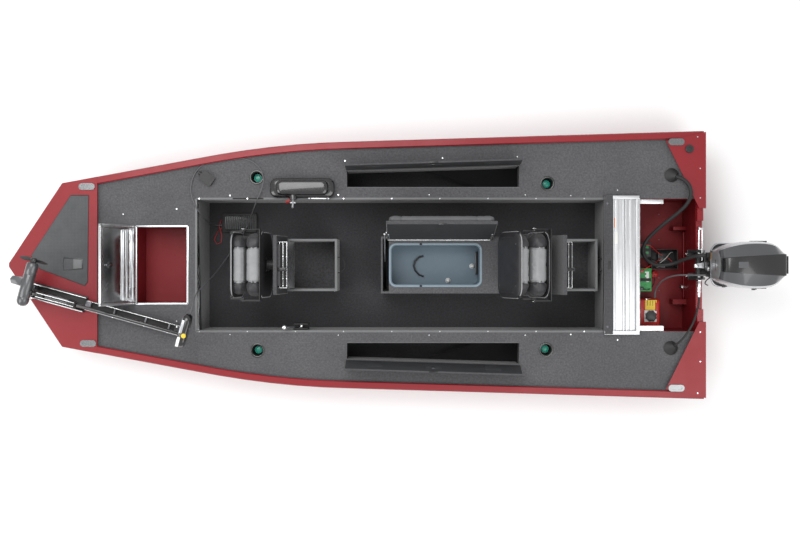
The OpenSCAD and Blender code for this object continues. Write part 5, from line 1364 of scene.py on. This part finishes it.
deckScrews = [(x, y * s, 0.3757) for s in (-1, 1) for x, y in
              ((0.14, 0.525), (-0.54, 0.525), (-1.26, 0.525), (0.09, 0.780), (-0.64, 0.800), (-1.20, 0.810),
               (0.95, 0.520), (-1.60, 0.520), (-1.95, 0.560), (1.35, 0.420), (1.75, 0.380))]
rimScrews = [(-1.70 + 0.36 * k, s * 0.497, 0.3780) for k in range(9) for s in (-1, 1)]
capScrews = [(-2.56 + dx, s * y, 0.4090) for s in (-1, 1) for dx, y in ((0.0, 0.50), (0.0, 0.72), (0.02,
        0.955))]
deckScrewHead = {"radius": 0.0050, "finish": "chrome"}
scatter("deckScrews", "boat", deckScrews + rimScrews + capScrews,
        deckScrewHead["radius"], deckScrewHead["finish"])
print("cockpit details done")

# outboard leg: a faired column, plates, gearcase, skeg and intake
def fairing(x, z, front, back, half):
    ring = []
    for k in range(28):
        a = k * math.tau / 28
        along = math.cos(a)
        ring.append((x + (front if along > 0 else back) * along, half * math.sin(a) * (1 - 0.25 * max(0,
                -along)), z))
    return ring


column = Shape()
column.skin([fairing(-2.815, z, f, b, h) for z, f, b, h in
             ((0.4998, 0.078, 0.130, 0.066), (0.4560, 0.080, 0.134, 0.070), (0.4200, 0.078, 0.108, 0.056),
              (0.3000, 0.076, 0.102, 0.050), (0.1000, 0.076, 0.102, 0.046), (-0.060, 0.076, 0.106, 0.044),
              (-0.1500, 0.078, 0.116, 0.040), (-0.1775, 0.082, 0.130, 0.036))], "engineGrey")
column.skin([fairing(-2.840, z, 0.145 - e, 0.195 - e, 0.092 - e) for z, e in
             ((-0.1840, 0.004), (-0.1820, 0.0), (-0.1790, 0.0), (-0.1775, 0.003))], "engineGrey")
column.skin([fairing(-2.815, z, f, b, h) for z, f, b, h in
             ((-0.1830, 0.070, 0.110, 0.030), (-0.2300, 0.062, 0.082, 0.020), (-0.3000, 0.060, 0.076,
                     0.018))],
            "engineGrey")
column.lathe([(0, -0.212), (0.036, -0.212), (0.0440, -0.200), (0.0460, -0.150), (0.0458, 0.0), (0.0430,
        0.030),
              (0.0340, 0.055), (0.0200, 0.072), (0.0080, 0.080), (0, 0.0815)], (-2.707, 0, -0.318), (1, 0,
                      0),
             "engineGrey", 36)
column.plate([(-2.735, -0.345), (-2.885, -0.345), (-2.892, -0.480), (-2.884, -0.488), (-2.842, -0.488),
              (-2.800, -0.420)],
             -0.0035, 0.0035, "engineGrey", 0.0015, turn=Matrix.Rotation(math.pi / 2, 4, "X"))
for z in (0.430, 0.392):
    for s in (-1, 1):
        column.screw((-2.805, s * 0.0575, z), "chrome", 0.007, (0, s, 0))
for k in range(5):
    for s in (-1, 1):
        column.block((-2.800 + k * 0.011, s * 0.0205 - 0.004, -0.262), (-2.795 + k * 0.011,
                s * 0.0205 + 0.004, -0.224),
                     "shadowGap", 0.0012)
column.block((-2.905, -0.014, -0.2040), (-2.860, 0.014, -0.1835), "bareMetal", 0.004)
column.rod((-2.692, 0, -0.040), (-2.692, 0, 0.452), 0.0158, "darkSteel", 28)
column.block((-2.716, -0.030, 0.452), (-2.668, 0.030, 0.4975), "engineGrey", 0.006)
column.plate([(-2.692, -0.029), (-2.692, 0.029), (-2.600, 0.026), (-2.492, 0.020), (-2.492, -0.006),
              (-2.600, -0.026)],
             0.486, 0.498, "engineSilver", 0.002)
column.lathe([(0.014, 0), (0.014, 0.006), (0.008, 0.010), (0, 0.010)], (-2.508, 0.007, 0.4978), (0, 0, 1),
             "chrome", 20)
column.block((-2.770, -0.024, -0.066), (-2.668, 0.024, -0.022), "engineGrey", 0.006)
column.make("outboardColumn", "engine", "engine_paint", ["outboard_leg"], sharp=45)

screwProp = Shape(turned((-2.965, 0, -0.318), -90, "Y"))
screwProp.lathe([(0.006, -0.041), (0.030, -0.041), (0.0365, -0.034), (0.0375, -0.010), (0.0345, 0.026),
                 (0.0300, 0.040),
                 (0.026, 0.0445), (0.012, 0.0445), (0.010, 0.043), (0, 0.043)], (0, 0, 0), (0, 0, 1),
                 "engineGrey", 36)
for third in (0, 120, 240):
    blade(screwProp, 0.030, 0.124, 0.088, (52, 24), 0.0034, "engineSilver",
          Matrix.Rotation(math.radians(third), 4, "Z"))
screwProp.make("outboardBlades", "engine_propeller", "engine_silver", ["outboard_propeller"], sharp=50)

# stern fittings: drain plug and the light socket's cap
stern = Shape()
stern.lathe([(0.024, 0), (0.024, 0.004), (0.014, 0.008), (0.014, 0.014), (0, 0.014)], (-2.5895, 0.09,
        -0.07), (-1, 0, 0),
            "chrome", 24)
stern.lathe([(0.0300, 0.4206), (0.0270, 0.4232), (0.0130, 0.4232), (0.0130, 0.4190), (0, 0.4190)], (-2.478,
        -0.865, 0),
            (0, 0, 1), "fuseBlack", 28)
stern.make("sternFittings", "boat", "black_plastic")
print("outboard leg and stern fittings done")

# the floor lies at the waterline and is open inside the hull
floorSize = {"reach": 9.0, "inset": 0.003, "stations": 60}
scene = bpy.context.scene
bpy.context.view_layer.update()
hullSkin = [nodes["hull_sides"], nodes["hull_bottom"]]
hullLow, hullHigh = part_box("hull_sides")


def skinAt(x):
    best = None
    for skin in hullSkin:
        hit, at, normal, face = skin.ray_cast(Vector((x, 3.0, 0.0)), Vector((0, -1, 0)))
        if hit and at.y > 0 and (best is None or at.y > best):
            best = at.y
    return best


outline = []
for i in range(floorSize["stations"] + 1):
    x = hullLow[0] + 0.002 + (hullHigh[0] - hullLow[0]) * i / floorSize["stations"]
    y = skinAt(x)
    if y is not None and y > 0.01:
        outline.append((x, y - floorSize["inset"]))
ring = outline + [(x, -y) for x, y in reversed(outline)]
floorMesh = bmesh.new()
reach = floorSize["reach"]
inner = [floorMesh.verts.new((x, y, 0)) for x, y in ring]
outer = []
for x, y in ring:
    angle = math.atan2(y, x + 0.1)
    size = reach / max(abs(math.cos(angle)), abs(math.sin(angle)))
    outer.append(floorMesh.verts.new((math.cos(angle) * size, math.sin(angle) * size, 0)))
for i in range(len(ring)):
    k = (i + 1) % len(ring)
    floorMesh.faces.new((inner[i], inner[k], outer[k], outer[i]))
bmesh.ops.recalc_face_normals(floorMesh, faces=floorMesh.faces)
floorData = bpy.data.meshes.new("paleFloor")
floorMesh.to_mesh(floorData)
floorMesh.free()
paleFloor = bpy.data.objects.new("paleFloor", floorData)
bpy.context.collection.objects.link(paleFloor)
floorFinish = Finish("paleFloorFinish", Base_Color=(0.9, 0.9, 0.9), Roughness=0.9)
floorData.materials.append(floorFinish.material)

scene.view_settings.view_transform = "Standard"

# soft studio light
lights = {
    "keyLight": {"at": (1.5, -2.5, 6.5), "size": 4.5, "power": 260.0},
    "fillLight": {"at": (-3.5, 3.0, 6.0), "size": 5.0, "power": 190.0},
    "bowLight": {"at": (5.0, 1.5, 4.0), "size": 3.0, "power": 100.0},
}
for name, light in lights.items():
    lamp = bpy.data.lights.new(name, "AREA")
    lamp.energy = light["power"]
    lamp.size = light["size"]
    holder = bpy.data.objects.new(name, lamp)
    holder.location = light["at"]
    holder.rotation_euler = (-Vector(light["at"])).to_track_quat("-Z", "Y").to_euler()
    bpy.context.collection.objects.link(holder)
world = bpy.data.worlds.new("studio")
scene.world = world
world.use_nodes = True
world.node_tree.nodes["Background"].inputs[0].default_value = (1.0, 1.0, 1.0, 1.0)
world.node_tree.nodes["Background"].inputs[1].default_value = 0.75
print("stage and light done")
